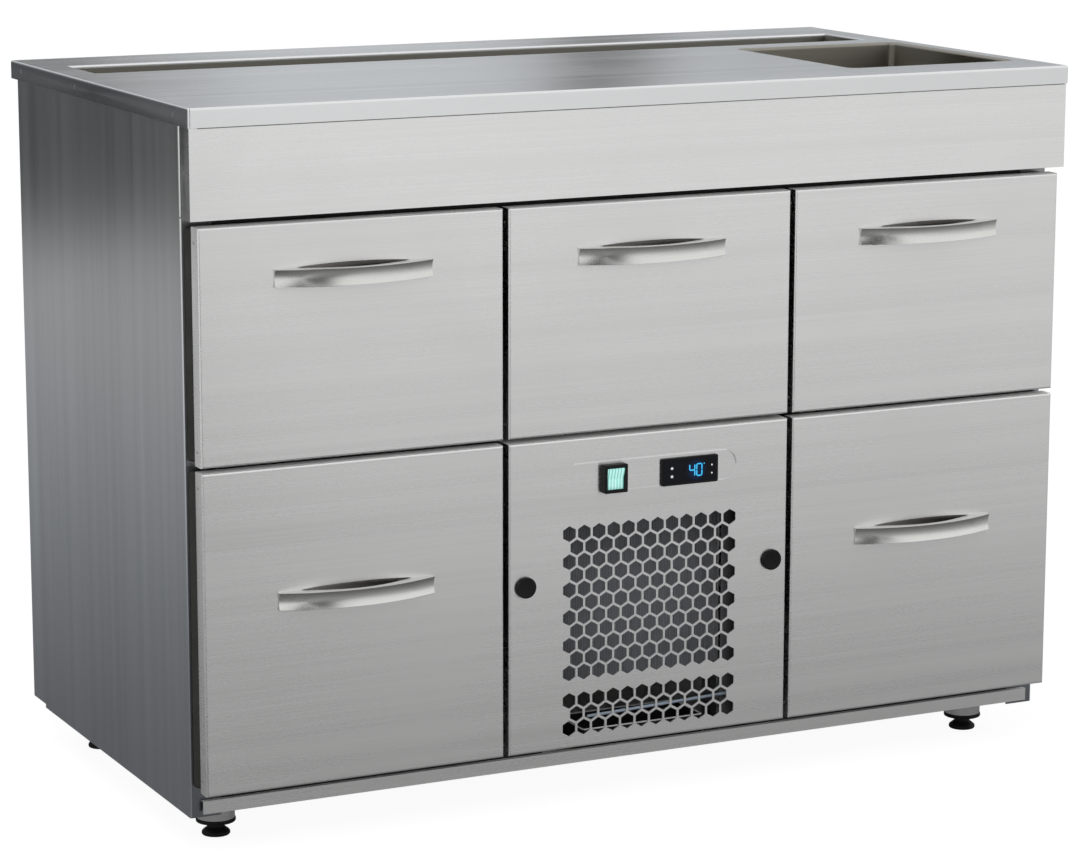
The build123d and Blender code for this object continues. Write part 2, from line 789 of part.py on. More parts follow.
def make_condenser():
    """Fin block between two end plates that stand on the base sheet."""
    coil = block((-condenser_half, condenser_half), condenser_y, condenser_z)
    for x_range in both_sides((condenser_half, condenser_half + condenser_plate)):
        coil += block(x_range, condenser_y, (base_top_z, condenser_z[1]))
    return coil


def make_fan_shroud():
    """Plate on the condenser's back, a ring round the fan, and the motor on three arms behind it."""
    plate_y = (condenser_y[1], condenser_y[1] + fan_ring_wall)
    ring_y = (condenser_y[1], arm_y[1])
    shroud = block((-shroud_half, shroud_half), plate_y, shroud_z)
    shroud += rod(ring_outer_radius, 0, fan_z, ring_y)
    shroud -= rod(ring_inner_radius, 0, fan_z, grown(ring_y, fan_ring_wall))
    arm_x = (0, ring_inner_radius + fan_ring_wall / 2)
    arm = block(arm_x, arm_y, (-motor_arm_width / 2, motor_arm_width / 2))
    for index in range(motor_arm_count):
        shroud += Pos(0, 0, fan_z) * Rot(0, 90 + index * 360 / motor_arm_count, 0) * arm
    shroud += rod(motor_radius, 0, fan_z, (arm_y[0], motor_rear_y))
    return shroud + rod(fan_shaft_radius, 0, fan_z, (hub_y[0], arm_y[0]))


def fan_rotor(tip_radius, centre_y, centre_z):
    """Hub with pitched blades, bored to run on its shaft."""
    rotor = rod(fan_hub_radius, 0, 0, (-fan_hub_length / 2, fan_hub_length / 2))
    blade_x = (fan_hub_radius - fan_blade_root, tip_radius)
    blade = block(blade_x, (-fan_blade_thickness / 2, fan_blade_thickness / 2),
                  (-fan_blade_chord / 2, fan_blade_chord / 2))
    blade = Rot(fan_blade_pitch, 0, 0) * blade
    for index in range(fan_blade_count):
        rotor += Rot(0, index * 360 / fan_blade_count, 0) * blade
    rotor &= rod(tip_radius, 0, 0, (-fan_blade_chord, fan_blade_chord))
    rotor -= rod(fan_shaft_radius + fan_running_play, 0, 0, (-fan_hub_length, fan_hub_length))
    return Pos(0, centre_y, centre_z) * rotor


def make_condenser_fan():
    return fan_rotor(fan_radius, sum(hub_y) / 2, fan_z)


def make_compressor():
    """Welded steel can on a foot plate with four rubber mounts, and its two pipe ports."""
    can = column(compressor_radius, 0, compressor_y, compressor_z)
    can = fillet(can.faces().sort_by(Axis.Z)[-1].edges(), compressor_dome)
    half = compressor_plate_size / 2
    plate_z = (compressor_z[0] - compressor_plate, compressor_z[0])
    can += block((-half, half), (compressor_y - half, compressor_y + half), plate_z)
    inset = half - compressor_mount_radius
    for x in (-inset, inset):
        for y in (compressor_y - inset, compressor_y + inset):
            can += column(compressor_mount_radius, x, y, (base_top_z, plate_z[0]))
    sideways = Pos(port_x / 2, compressor_y, discharge_z) * Rot(0, 90, 0)
    side_port = sideways * Cylinder(pipe_port_radius, port_x)
    top_port = column(pipe_port_radius, 0, compressor_y, (compressor_z[0], suction_z))
    return can + side_port + top_port


def make_condensate_tray():
    """Shallow pan between the condenser's end plates that catches and dries off the defrost water."""
    tray_x = grown((tray_offset, tray_offset), tray_width / 2)
    tray_y = (condenser_y[0], condenser_y[0] + tray_length)
    tray_z = (base_top_z, base_top_z + tray_height)
    tray = block(tray_x, tray_y, tray_z)
    hollow_z = (tray_z[0] + tray_sheet, tray_z[1] + tray_sheet)
    return tray - block(grown(tray_x, -tray_sheet), grown(tray_y, -tray_sheet), hollow_z)


# Evaporator and the pipes of the cooling circuit
evaporator_y = chamber_back_y - evaporator_depth / 2
evaporator_half = open_half - evaporator_side_gap
evaporator_z = grown(upper_open, -evaporator_end_gap)
evaporator_fan_z = sum(evaporator_z) / 2
evaporator_front_y = chamber_back_y - evaporator_depth
evaporator_hub_y = (evaporator_front_y + fan_front_gap, evaporator_front_y + fan_front_gap + fan_hub_length)
liquid_x = -(open_half - pipe_wall_gap)
suction_x = liquid_x + pipe_pair_gap
discharge_x = open_half - pipe_wall_gap


def make_evaporator():
    """Fin block on the rear wall, with a round recess and a shaft for its fan."""
    coil = block((-evaporator_half, evaporator_half), (evaporator_front_y, chamber_back_y), evaporator_z)
    recess_back_y = evaporator_hub_y[1] + fan_rear_gap
    recess_y = (evaporator_front_y - fan_front_gap, recess_back_y)
    coil -= rod(evaporator_fan_radius + fan_tip_gap, 0, evaporator_fan_z, recess_y)
    return coil + rod(fan_shaft_radius, 0, evaporator_fan_z, (evaporator_hub_y[0], recess_back_y))


def make_evaporator_fan():
    return fan_rotor(evaporator_fan_radius, sum(evaporator_hub_y) / 2, evaporator_fan_z)


def bent_pipe(points):
    """Round pipe along straight runs joined by tangent arcs."""
    path = FilletPolyline(*points, radius=pipe_bend)
    start = Plane(origin=path @ 0, z_dir=path % 0)
    return sweep(start * Circle(pipe_radius), path=path)


def make_refrigerant_pipes():
    plate_x = condenser_half + condenser_plate
    coil_y = sum(condenser_y) / 2
    high_z = condenser_z[1] - condenser_margin
    low_z = condenser_z[0] + condenser_margin
    return_z = suction_z + pipe_rise
    discharge = bent_pipe([
        (port_x, compressor_y, discharge_z), (discharge_x, compressor_y, discharge_z),
        (discharge_x, coil_y, discharge_z), (discharge_x, coil_y, high_z), (plate_x, coil_y, high_z)])
    liquid = bent_pipe([
        (-plate_x, coil_y, low_z), (liquid_x, coil_y, low_z),
        (liquid_x, evaporator_y, low_z), (liquid_x, evaporator_y, evaporator_z[0])])
    suction = bent_pipe([
        (0, compressor_y, suction_z), (0, compressor_y, return_z), (suction_x, compressor_y, return_z),
        (suction_x, evaporator_y, return_z), (suction_x, evaporator_y, evaporator_z[0])])
    return group([discharge, liquid, suction])


# Collect every piece under its node name
nodes = {
    "worktop": make_worktop(),
    "rear_trough": make_rear_trough(),
    "basin": make_basin(),
    "fascia_panel": make_fascia_panel(),
    "side_panel_left": make_side_panel(-1),
    "side_panel_right": make_side_panel(1),
    "back_panel": make_back_panel(),
    "cable_gland": make_cable_gland(),
    "base_frame": make_base_frame(),
    "cabinet_insulation": make_cabinet_insulation(),
    "partition_walls": make_partition_walls(),
    "chamber_floors": make_chamber_floors(),
    "cross_rails": make_cross_rails(),
    "cabinet_runners": make_cabinet_runners(),
    "foot_sockets": make_foot_sockets(),
    "service_panel": make_service_panel(),
    "thumb_screw_left": make_thumb_screw(-1),
    "thumb_screw_right": make_thumb_screw(1),
    "switch_bezel": make_switch_bezel(),
    "switch_rocker": make_switch_rocker(),
    "thermostat": make_thermostat(),
    "condenser": make_condenser(),
    "fan_shroud": make_fan_shroud(),
    "condenser_fan": make_condenser_fan(),
    "compressor": make_compressor(),
    "condensate_tray": make_condensate_tray(),
    "evaporator": make_evaporator(),
    "evaporator_fan": make_evaporator_fan(),
    "refrigerant_pipes": make_refrigerant_pipes(),
}
for button, button_z in button_places.items():
    nodes["thermostat_button_" + button] = make_thermostat_button(button_z)
for corner, place in foot_places.items():
    nodes["foot_" + corner] = make_foot(place)
for name, side, (bottom_z, top_z, opening, handle_drop) in drawers:
    centre_x = side * column_pitch
    grip_z = top_z - handle_drop
    nodes["drawer_front_" + name] = make_drawer_front(centre_x, (bottom_z, top_z), grip_z)
    nodes["handle_" + name] = make_handle(centre_x, grip_z)
    nodes["gasket_" + name] = make_gasket(centre_x, (bottom_z, top_z))
    nodes["drawer_box_" + name] = make_drawer_box(centre_x, side, opening)
    nodes["mid_runners_" + name] = make_mid_runners(centre_x, opening)

os.makedirs("parts", exist_ok=True)
for node, shape in nodes.items():
    export_step(shape, f"parts/{node}.step")
print(len(nodes), "nodes written")
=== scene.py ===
# %% [markdown]
# # A refrigerated bar counter
# The CAD model already has every panel, drawer and joint in its right place, in metres. This lesson dresses
# it. It sets up the camera of the photograph and a bright studio, gives each sheet of steel its brushed
# finish, and adds what a CAD model leaves out: screws, rivets, soft seals, cooling fins, a lit display.

# %% Load the frame
import math

import bmesh
import bpy
from mathutils import Matrix, Vector


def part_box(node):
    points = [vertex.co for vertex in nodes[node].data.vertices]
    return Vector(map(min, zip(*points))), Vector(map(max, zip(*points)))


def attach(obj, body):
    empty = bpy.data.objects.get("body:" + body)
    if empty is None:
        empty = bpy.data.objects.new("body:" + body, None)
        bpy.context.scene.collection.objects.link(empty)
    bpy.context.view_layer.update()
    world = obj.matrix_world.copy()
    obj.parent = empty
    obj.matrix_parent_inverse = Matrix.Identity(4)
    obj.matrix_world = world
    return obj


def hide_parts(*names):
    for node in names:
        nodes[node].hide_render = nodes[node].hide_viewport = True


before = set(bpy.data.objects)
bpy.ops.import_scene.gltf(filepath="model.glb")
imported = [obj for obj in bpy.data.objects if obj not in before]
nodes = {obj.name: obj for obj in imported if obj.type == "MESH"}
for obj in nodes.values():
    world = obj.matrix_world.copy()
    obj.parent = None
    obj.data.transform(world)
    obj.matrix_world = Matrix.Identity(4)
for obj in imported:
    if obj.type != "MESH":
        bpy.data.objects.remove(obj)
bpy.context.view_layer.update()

# %% [markdown]
# ## The camera
# The photograph was taken with a long lens from the counter's front left corner, a little above the
# worktop. Its straight edges give the camera's place, turn and focal length. The focal length comes out in
# pixels of the picture, and a sensor 36 mm wide turns it into a lens length that Blender understands.

# %% Camera
photo_width = 1084
focal_pixels = 3568.6

camera_data = bpy.data.cameras.new("photo_camera")
camera_data.sensor_width = 36.0
camera_data.lens = camera_data.sensor_width * focal_pixels / photo_width
camera = bpy.data.objects.new("photo_camera", camera_data)
camera.location = (-2.0202, -4.1209, 1.3336)
camera.rotation_euler = [math.radians(angle) for angle in (78.810, -0.064, -26.138)]
bpy.context.scene.collection.objects.link(camera)
bpy.context.scene.camera = camera
bpy.context.scene.view_settings.view_transform = "Standard"
print("lens in mm:", round(camera_data.lens, 1))

# %% [markdown]
# ## Shader nodes in one line
# Every material below is a small tree of nodes. A helper that makes a node, sets its values and links its
# inputs in one call keeps those trees readable: a value goes into a socket, and another node's output is
# linked to it.

# %% Node helpers
def feed(tree, node, inputs):
    """Gives a node's inputs plain values, or links them to the outputs of other nodes."""
    for name, value in inputs.items():
        if isinstance(value, bpy.types.NodeSocket):
            tree.links.new(value, node.inputs[name])
        else:
            node.inputs[name].default_value = value


def add_node(tree, kind, inputs=None, **settings):
    """Adds a shader node with its settings and its inputs."""
    made = tree.nodes.new("ShaderNode" + kind)
    for name, value in settings.items():
        setattr(made, name, value)
    feed(tree, made, inputs or {})
    return made


def math_node(tree, operation, first, second=0.0):
    """Adds a Math node and gives its result."""
    return add_node(tree, "Math", {0: first, 1: second}, operation=operation).outputs[0]


def spread(tree, value, from_low, from_high, to_low, to_high):
    """Maps one range of values onto another, and holds its ends."""
    ranges = {"Value": value, "From Min": from_low, "From Max": from_high,
              "To Min": to_low, "To Max": to_high}
    return add_node(tree, "MapRange", ranges).outputs[0]


def mix_colours(tree, share, first, second, blend="MIX"):
    """Blends two colours; each is three numbers or the output of another node."""
    first, second = [colour if isinstance(colour, bpy.types.NodeSocket) else (*colour, 1.0)
                     for colour in (first, second)]
    mixer = add_node(tree, "Mix", {0: share, 6: first, 7: second}, data_type="RGBA", blend_type=blend)
    return mixer.outputs[2]


def split(tree, vector):
    """The X, Y and Z of a vector."""
    return add_node(tree, "SeparateXYZ", {0: vector}).outputs


def object_place(tree):
    """Object coordinates, which are metres in the counter's own frame."""
    return add_node(tree, "TexCoord").outputs["Object"]


print("node helpers ready")

# %% [markdown]
# ## The studio
# The photograph is a cut-out on pure white. So the sky is white wherever it is seen, straight or mirrored
# in the steel, and it lights the matt surfaces with a lower, plain strength. The floor is white in the same
# way, but keeps a share of ordinary diffuse shading, which leaves the counter its soft shadow. Brushed
# steel shows little but its surroundings. Its shading in the photograph, darker towards the floor, comes
# from a floor that looks grey close to the counter, so the mirrored floor gets a slope from grey to white.
# It is darker still in three places: far to the right, close by at the front's left end, and in a narrow
# wedge ahead of the counter.

# %% White sky
def seen_by_eye(tree):
    """1 for rays that show a background: to the camera, off metal, or through glass."""
    path = add_node(tree, "LightPath").outputs
    direct = math_node(tree, "MAXIMUM", path["Is Camera Ray"], path["Is Transmission Ray"])
    return math_node(tree, "MAXIMUM", direct, path["Is Glossy Ray"])


matt_strength = 0.62
white = (1.0, 1.0, 1.0, 1.0)

world = bpy.data.worlds.new("white_studio")
world.use_nodes = True
sky = world.node_tree
sky_strength = spread(sky, seen_by_eye(sky), 0.0, 1.0, matt_strength, 1.0)
feed(sky, sky.nodes["Background"], {"Color": white, "Strength": sky_strength})
bpy.context.scene.world = world
print("sky lights matt surfaces with", matt_strength)

# %% Floor finish
def bare_finish(name):
    """A material with an empty tree."""
    finish = bpy.data.materials.new(name)
    finish.use_nodes = True
    finish.node_tree.nodes.clear()
    return finish, finish.node_tree


half_width = 0.6
half_depth = 0.32
near_grey = 0.185
far_white = 1.12
grey_reach = 5.6
wedge_course = 0.065
seen_white = 1.09
shadow_share = 0.14

floor_finish, tree = bare_finish("pale_floor")
place = split(tree, object_place(tree))
squares = []
for letter, half in (("X", half_width), ("Y", half_depth)):
    past = math_node(tree, "SUBTRACT", math_node(tree, "ABSOLUTE", place[letter]), half)
    past = math_node(tree, "MAXIMUM", past)
    squares.append(math_node(tree, "MULTIPLY", past, past))
away = math_node(tree, "SQRT", math_node(tree, "ADD", *squares))

far_right = spread(tree, place["X"], 2.4, 5.0, 1.0, 0.64)
in_front = spread(tree, place["Y"], -0.4, -0.3, 1.0, 0.0)
in_front = math_node(tree, "MULTIPLY", in_front, spread(tree, away, 1.0, 2.6, 1.0, 0.0))
near_left = math_node(tree, "MULTIPLY", spread(tree, place["X"], -0.9, -0.5, 0.8, 0.0), in_front)
course = math_node(tree, "DIVIDE", place["X"], math_node(tree, "MINIMUM", place["Y"], -0.4))
off_course = math_node(tree, "ABSOLUTE", math_node(tree, "SUBTRACT", course, wedge_course))
wedge = math_node(tree, "MULTIPLY", spread(tree, off_course, 0.11, 0.20, 0.95, 0.0),
                  spread(tree, place["Y"], -2.4, -1.1, 1.0, 0.0))

mirrored = math_node(tree, "MULTIPLY", spread(tree, away, 0.1, grey_reach, near_grey, far_white), far_right)
for dark in (near_left, wedge):
    mirrored = math_node(tree, "MULTIPLY", mirrored, math_node(tree, "SUBTRACT", 1.0, dark))
glossy = add_node(tree, "LightPath").outputs["Is Glossy Ray"]
strength = add_node(tree, "Mix", {0: glossy, 2: seen_white, 3: mirrored}, data_type="FLOAT").outputs[0]
glow = add_node(tree, "Emission", {"Color": white, "Strength": strength})
matt = add_node(tree, "BsdfDiffuse", {"Color": (0.8, 0.8, 0.8, 1.0)})
glow_share = math_node(tree, "MULTIPLY", seen_by_eye(tree), 1.0 - shadow_share)
floor_mix = add_node(tree, "MixShader", {0: glow_share, 1: matt.outputs[0], 2: glow.outputs[0]})
add_node(tree, "OutputMaterial", {"Surface": floor_mix.outputs[0]})
print("floor turns from grey to white over", grey_reach, "m")

# %% Floor
def make_object(name, shape, finish):
    """Makes a bmesh an object with one finish."""
    mesh = bpy.data.meshes.new(name)
    shape.to_mesh(mesh)
    shape.free()
    mesh.materials.append(finish)
    made = bpy.data.objects.new(name, mesh)
    bpy.context.scene.collection.objects.link(made)
    return made


floor_reach = 40.0
shape = bmesh.new()
bmesh.ops.create_grid(shape, x_segments=1, y_segments=1, size=floor_reach)
make_object("floor", shape, floor_finish)
print("floor reaches", floor_reach, "m each way")

# %% [markdown]
# ## Grey boards and the key light
# Photographers of steel put dark boards where the metal mirrors them. Two do the work here. One is a low
# curved wall far behind the counter, which the side panel's upper end and the back of the worktop show. It
# is slightly blue, and lighter and darker bands run up it. The other is a wide black strip far in front
# that arches up overhead, and makes the dark patch on each bow handle. Both are seen in reflections only.
# One large soft lamp at the front left lights the seals, the knobs and the feet.

# %% Boards seen only in reflections
def verts_of(geometry):
    """The vertices among what a bmesh operator made."""
    return [part for part in geometry if isinstance(part, bmesh.types.BMVert)]


def reflection_board(name, shape, greys, height, bands=(), tint=(1.0, 1.0, 1.0)):
    """Makes a bmesh a board, shaded from its foot up to a height, that only glossy rays meet.

    Each band is a place along X, two distances from it, and the factors of the shade at those distances.
    """
    finish, tree = bare_finish(name)
    spot = split(tree, object_place(tree))
    shade = spread(tree, spot["Z"], 0.0, height, *greys)
    for centre, *band in bands:
        aside = math_node(tree, "ABSOLUTE", math_node(tree, "SUBTRACT", spot["X"], centre))
        shade = math_node(tree, "MULTIPLY", shade, spread(tree, aside, *band))
    shade = math_node(tree, "MINIMUM", shade, 1.0)
    lit = add_node(tree, "Emission", {"Strength": shade, "Color": (*tint, 1.0)})
    add_node(tree, "OutputMaterial", {"Surface": lit.outputs[0]})
    board = make_object(name, shape, finish)
    for kind in ("camera", "diffuse", "transmission", "volume_scatter", "shadow"):
        setattr(board, "visible_" + kind, False)
    print("board:", name)


wall_radius = 5.2
wall_start = 1.2
wall_height = 3.4
wall_greys = (0.02, 0.5)
wall_bands = [(1.0, 0.12, 0.6, 0.12, 1.58), (2.48, 0.05, 0.2, 0.0, 1.0), (-10.0, 12.5, 12.8, 1.0, 0.82),
              (-10.0, 8.0, 9.5, 0.92, 1.0)]
wall_tint = (0.955, 1.0, 1.05)

wall = bmesh.new()
bmesh.ops.create_circle(wall, segments=72, radius=wall_radius)
bmesh.ops.bisect_plane(wall, geom=wall.verts[:] + wall.edges[:], plane_co=(0, wall_start, 0),
                       plane_no=(0, -1, 0), clear_outer=True)
raised = bmesh.ops.extrude_edge_only(wall, edges=wall.edges[:])["geom"]
bmesh.ops.translate(wall, vec=(0, 0, wall_height), verts=verts_of(raised))
reflection_board("rear_wall", wall, wall_greys, wall_height, wall_bands, wall_tint)

card_distance = 30.0
card_ends = (-7.0, 2.8)
card_arch = math.radians(-85)
card_height = 24.0
card_greys = (0.0, 0.06)

card = bmesh.new()
foot = [card.verts.new((x, -card_distance, 0.0)) for x in card_ends]
foot.append(card.edges.new(foot))
bmesh.ops.spin(card, geom=foot, cent=(0, 0, 0), axis=(1, 0, 0), angle=card_arch, steps=16)
reflection_board("front_card", card, card_greys, card_height)

# %% Key light
key_aim = Vector((0, 0, 0.5))
key_data = bpy.data.lights.new("key", "AREA")
key_data.shape = "DISK"
key_data.size = 3.2
key_data.energy = 115
key = bpy.data.objects.new("key", key_data)
key.location = (-1.9, -3.3, 4.3)
key.visible_glossy = False
key.rotation_euler = (key_aim - Vector(key.location)).to_track_quat("-Z", "Y").to_euler()
bpy.context.scene.collection.objects.link(key)
print("key light:", key_data.energy, "W")

# %% [markdown]
# ## Shared surface effects
# Three effects return in many finishes, so each is a node group: the long scratches of a brushed sheet, the
# faint clouds that wiping and hands leave, and the fine pitting of moulded or painted parts. The brushing
# is ordinary noise on coordinates that are squeezed across the grain and stretched along it.

# %% Node groups
def new_group(name, inputs, outputs):
    """An empty shader group; gives the group, its given values and its results."""
    group = bpy.data.node_groups.new(name, "ShaderNodeTree")
    for socket, kind in inputs:
        group.interface.new_socket(socket, in_out="INPUT", socket_type="NodeSocket" + kind)
    for socket in outputs:
        group.interface.new_socket(socket, in_out="OUTPUT", socket_type="NodeSocketFloat")
    return group, group.nodes.new("NodeGroupInput").outputs, group.nodes.new("NodeGroupOutput")


def noise(tree, vector, scale, detail, **more):
    """Adds a Noise texture and gives its value."""
    inputs = {"Vector": vector, "Scale": scale, "Detail": detail, **more}
    return add_node(tree, "TexNoise", inputs).outputs[0]


scaled_vector = [("Vector", "Vector"), ("Scale", "Float")]

brushing, given, result = new_group("brushed_grain", [("Vector", "Vector")], ["Streak", "Height"])
scratches = noise(brushing, given["Vector"], 1.0, 4.0, Roughness=0.6)
bands = noise(brushing, given["Vector"], 0.11, 3.0, Roughness=0.55)
both = math_node(brushing, "ADD", math_node(brushing, "MULTIPLY", scratches, 0.45),
                 math_node(brushing, "MULTIPLY", bands, 0.55))
feed(brushing, result, {"Streak": spread(brushing, both, 0.32, 0.68, 0.0, 1.0), "Height": scratches})

wiping, given, result = new_group("wiping_marks", scaled_vector, ["Mark"])
cloud = noise(wiping, given["Vector"], given["Scale"], 3.0, Distortion=0.6)
feed(wiping, result, {"Mark": spread(wiping, cloud, 0.38, 0.66, 0.0, 1.0)})

pitting, given, result = new_group("fine_pitting", scaled_vector, ["Mark", "Height"])
pits = noise(pitting, given["Vector"], given["Scale"], 2.0)
patches = noise(pitting, given["Vector"], 22.0, 2.0)
feed(pitting, result, {"Mark": spread(pitting, patches, 0.35, 0.65, 0.0, 1.0), "Height": pits})
print("node groups:", [group.name for group in bpy.data.node_groups])

# %% [markdown]
# ## Brushed stainless steel
# The sheets were ground with a belt before they were cut and folded. Fine parallel scratches mirror sharply
# along the grain and blur across it. The Principled shader does that with its Anisotropic value, and its
# tangent must run across the scratches, so it turns about the brushing axis. On the fronts, the fascia and
# the worktop the grain runs along the counter, and on the two side panels it runs upright. Streaks change
# the colour and the roughness by a few percent, and a very low bump breaks up the highlights. An empty
# white studio leaves narrow faces brighter than a real room does. So a sheet can be given a painted shade
# for the faces that look sideways, to the front or down. Folds that lie flat can be rougher, and the side
# panels have a painted warm reflection at their upper end.

# %% Finish helpers
def new_finish(name):
    """A Principled material; gives it with its tree, its shader and its Object coordinates."""
    finish = bpy.data.materials.new(name)
    finish.use_nodes = True
    tree = finish.node_tree
    return finish, tree, tree.nodes["Principled BSDF"], object_place(tree)


def use_group(tree, name, inputs):
    """Adds one of the shared effects and gives its results."""
    return add_node(tree, "Group", inputs, node_tree=bpy.data.node_groups[name]).outputs


def add_bump(tree, shader, height, depth, strength=0.3):
    """Roughens a surface by a height from 0 to 1, which stands for a depth in metres."""
    bump = add_node(tree, "Bump", {"Height": height, "Distance": depth, "Strength": strength})
    feed(tree, shader, {"Normal": bump.outputs[0]})


def shades(colour, change):
    """A darker and a lighter shade of one colour."""
    return [v * (1 - change) for v in colour], [min(1.0, v * (1 + change)) for v in colour]


print("finish helpers ready")

# %% Steel finishes
grain_stretch = 1.5


def brushed_steel(name, colour, roughness, axis, contrast, anisotropy=0.75, lines=300.0, bump=0.15,
                  end_shade=1.0, front_shade=1.0, under_shade=1.0, fold_roughness=0.0, painted_warm_reflection=None):
    """Ground sheet; the grain runs along axis, and contrast is how far its streaks change the colour.

    Faces that look sideways, straight to the front or down can be darkened with painted shade, by end_shade,
    front_shade and under_shade. Folds that lie nearly flat can be rougher, and a sheet's upper end can have
    a painted warm reflection as a tint.
    """
    finish, tree, shader, coordinates = new_finish(name)
    looks = split(tree, add_node(tree, "TexCoord").outputs["Normal"])
    end = spread(tree, math_node(tree, "ABSOLUTE", looks["X"]), 0.6, 0.8, 0.0, 1.0)
    scale = [grain_stretch if letter == axis else lines for letter in "XYZ"]
    along = add_node(tree, "Mapping", {"Vector": coordinates, "Scale": scale}).outputs[0]
    if axis == "X":
        folded = add_node(tree, "Mapping", {"Vector": coordinates, "Scale": (lines, grain_stretch, lines)})
        mixed = add_node(tree, "Mix", {0: end, 4: along, 5: folded.outputs[0]}, data_type="VECTOR")
        along = mixed.outputs[1]
    grain = use_group(tree, "brushed_grain", {"Vector": along})
    mark = use_group(tree, "wiping_marks", {"Vector": coordinates, "Scale": 5.0})["Mark"]

    tone = mix_colours(tree, grain["Streak"], *shades(colour, contrast))
    tone = mix_colours(tree, math_node(tree, "MULTIPLY", mark, 0.25), tone, [v * 0.94 for v in colour])
    # Painted warm reflection over the sheet's upper end.
    if painted_warm_reflection:
        upper = spread(tree, split(tree, coordinates)["Z"], 0.3, 0.85, 0.0, 1.0)
        tone = mix_colours(tree, upper, tone, painted_warm_reflection, "MULTIPLY")
    # Painted shade on faces that look sideways, straight to the front or down.
    if min(end_shade, front_shade, under_shade) < 1.0:
        shade = math_node(tree, "MULTIPLY", spread(tree, end, 0.0, 1.0, 1.0, end_shade),
                          spread(tree, looks["Y"], -0.998, -0.97, front_shade, 1.0))
        shade = math_node(tree, "MULTIPLY", shade, spread(tree, looks["Z"], -0.45, -0.05, under_shade, 1.0))
        tone = mix_colours(tree, 1.0, tone, shade, "MULTIPLY")

    rough = spread(tree, grain["Streak"], 0.0, 1.0, roughness - 0.02, roughness + 0.02)
    rough = math_node(tree, "ADD", rough, math_node(tree, "MULTIPLY", mark, 0.015))
    if fold_roughness:
        level = math_node(tree, "ABSOLUTE", looks["Z"])
        rough = math_node(tree, "MAXIMUM", rough, spread(tree, level, 0.85, 0.92, 0.0, fold_roughness))
    across = add_node(tree, "Tangent", direction_type="RADIAL", axis=axis).outputs[0]
    feed(tree, shader, {"Base Color": tone, "Metallic": 1.0, "Roughness": rough, "Anisotropic": anisotropy,
                        "Tangent": across})
    add_bump(tree, shader, grain["Height"], 0.0001, bump)
    return finish


front_steel = brushed_steel("brushed_front", (0.785, 0.785, 0.78), 0.27, "X", 0.05, lines=450.0, bump=0.012,
                            fold_roughness=0.9)
fascia_steel = brushed_steel("brushed_fascia", (0.825, 0.825, 0.82), 0.27, "X", 0.05, lines=450.0,
                             bump=0.012, end_shade=0.40)
side_steel = brushed_steel("brushed_side", (0.675, 0.72, 0.775), 0.30, "Z", 0.16, end_shade=0.565,
                           front_shade=0.4, painted_warm_reflection=(1.10, 1.04, 0.96))
top_steel = brushed_steel("brushed_worktop", (0.775, 0.785, 0.79), 0.24, "X", 0.02, lines=450.0, bump=0.012,
                          end_shade=0.46)
# The basin and the trough are far darker than the worktop: painted shade inside these wells.
well_steel_shaded = brushed_steel("brushed_well", (0.29, 0.275, 0.24), 0.34, "X", 0.04)
handle_steel = brushed_steel("satin_handle", (0.70, 0.70, 0.68), 0.27, "X", 0.02, anisotropy=0.6,
                             under_shade=0.55)
box_steel = brushed_steel("plain_drawer_sheet", (0.60, 0.60, 0.60), 0.30, "Y", 0.03, anisotropy=0.4)
runner_steel = brushed_steel("rolled_runner", (0.58, 0.59, 0.60), 0.28, "Y", 0.04, anisotropy=0.3)
screw_steel = brushed_steel("fastener_steel", (0.42, 0.42, 0.42), 0.35, "Z", 0.05, anisotropy=0.0)
collar_steel = brushed_steel("turned_collar", (0.66, 0.66, 0.66), 0.22, "Z", 0.04, anisotropy=0.3)
print("steel finishes made")

# %% [markdown]
# ## Rubber, plastic, paint, zinc and copper
# The other finishes are matt next to the steel. Moulded plastic and paint get a fine pitting in their bump
# and a slow change of roughness. Zinc-coated sheet shows spangles, which are flat crystals, so a Voronoi
# pattern gives each cell its own grey. Copper darkens where it was handled. The cooling fins get a painted
# highlight on their edges and painted shade between them, as a stripe in their colour that keeps step with
# the pitch of the fins. The baffles beside them get painted shade that fades into the dark of the
# compartment.

# %% Matt finishes
def moulded(name, colour, roughness, change=0.2, pits=900.0, depth=0.00012, gloss=0.5, painted_gap_shade_y=None):
    """Plastic, rubber or paint; change is how far it varies.

    In front of a given depth along Y it is black: painted shade for the gaps between the drawer fronts.
    """
    finish, tree, shader, coordinates = new_finish(name)
    skin = use_group(tree, "fine_pitting", {"Vector": coordinates, "Scale": pits})
    tone = mix_colours(tree, skin["Mark"], *shades(colour, change))
    if painted_gap_shade_y is not None:
        gap_shade_share = spread(tree, split(tree, coordinates)["Y"], painted_gap_shade_y, painted_gap_shade_y + 0.0005, 1.0, 0.0)
        tone = mix_colours(tree, gap_shade_share, tone, (0.01, 0.01, 0.01))
    rough = spread(tree, skin["Mark"], 0.0, 1.0, roughness * 0.9, roughness * 1.1)
    feed(tree, shader, {"Base Color": tone, "Roughness": rough, "Specular IOR Level": gloss})
    add_bump(tree, shader, skin["Height"], depth)
    return finish


black_plastic = moulded("black_plastic", (0.009, 0.009, 0.0095), 0.45, gloss=0.14)
seal_rubber = moulded("seal_rubber", (0.030, 0.030, 0.028), 0.55, gloss=0.2)
# The liner is black at its front edges: painted shade for the gaps between the drawer fronts.
liner_plastic = moulded("pale_liner", (0.72, 0.73, 0.73), 0.5, change=0.02, painted_gap_shade_y=-0.262)
white_plastic = moulded("white_button", (0.85, 0.85, 0.85), 0.25, change=0.02)
compressor_paint = moulded("compressor_paint", (0.02, 0.02, 0.022), 0.28, pits=350.0, depth=0.0003)
tray_plastic = moulded("dark_tray", (0.016, 0.016, 0.018), 0.5, gloss=0.2)
# The drain's pale blue is a painted highlight along the pipe.
drain_painted_highlight = moulded("drain_pipe", (0.52, 0.62, 0.74), 0.35, change=0.05)
print("matt finishes made")

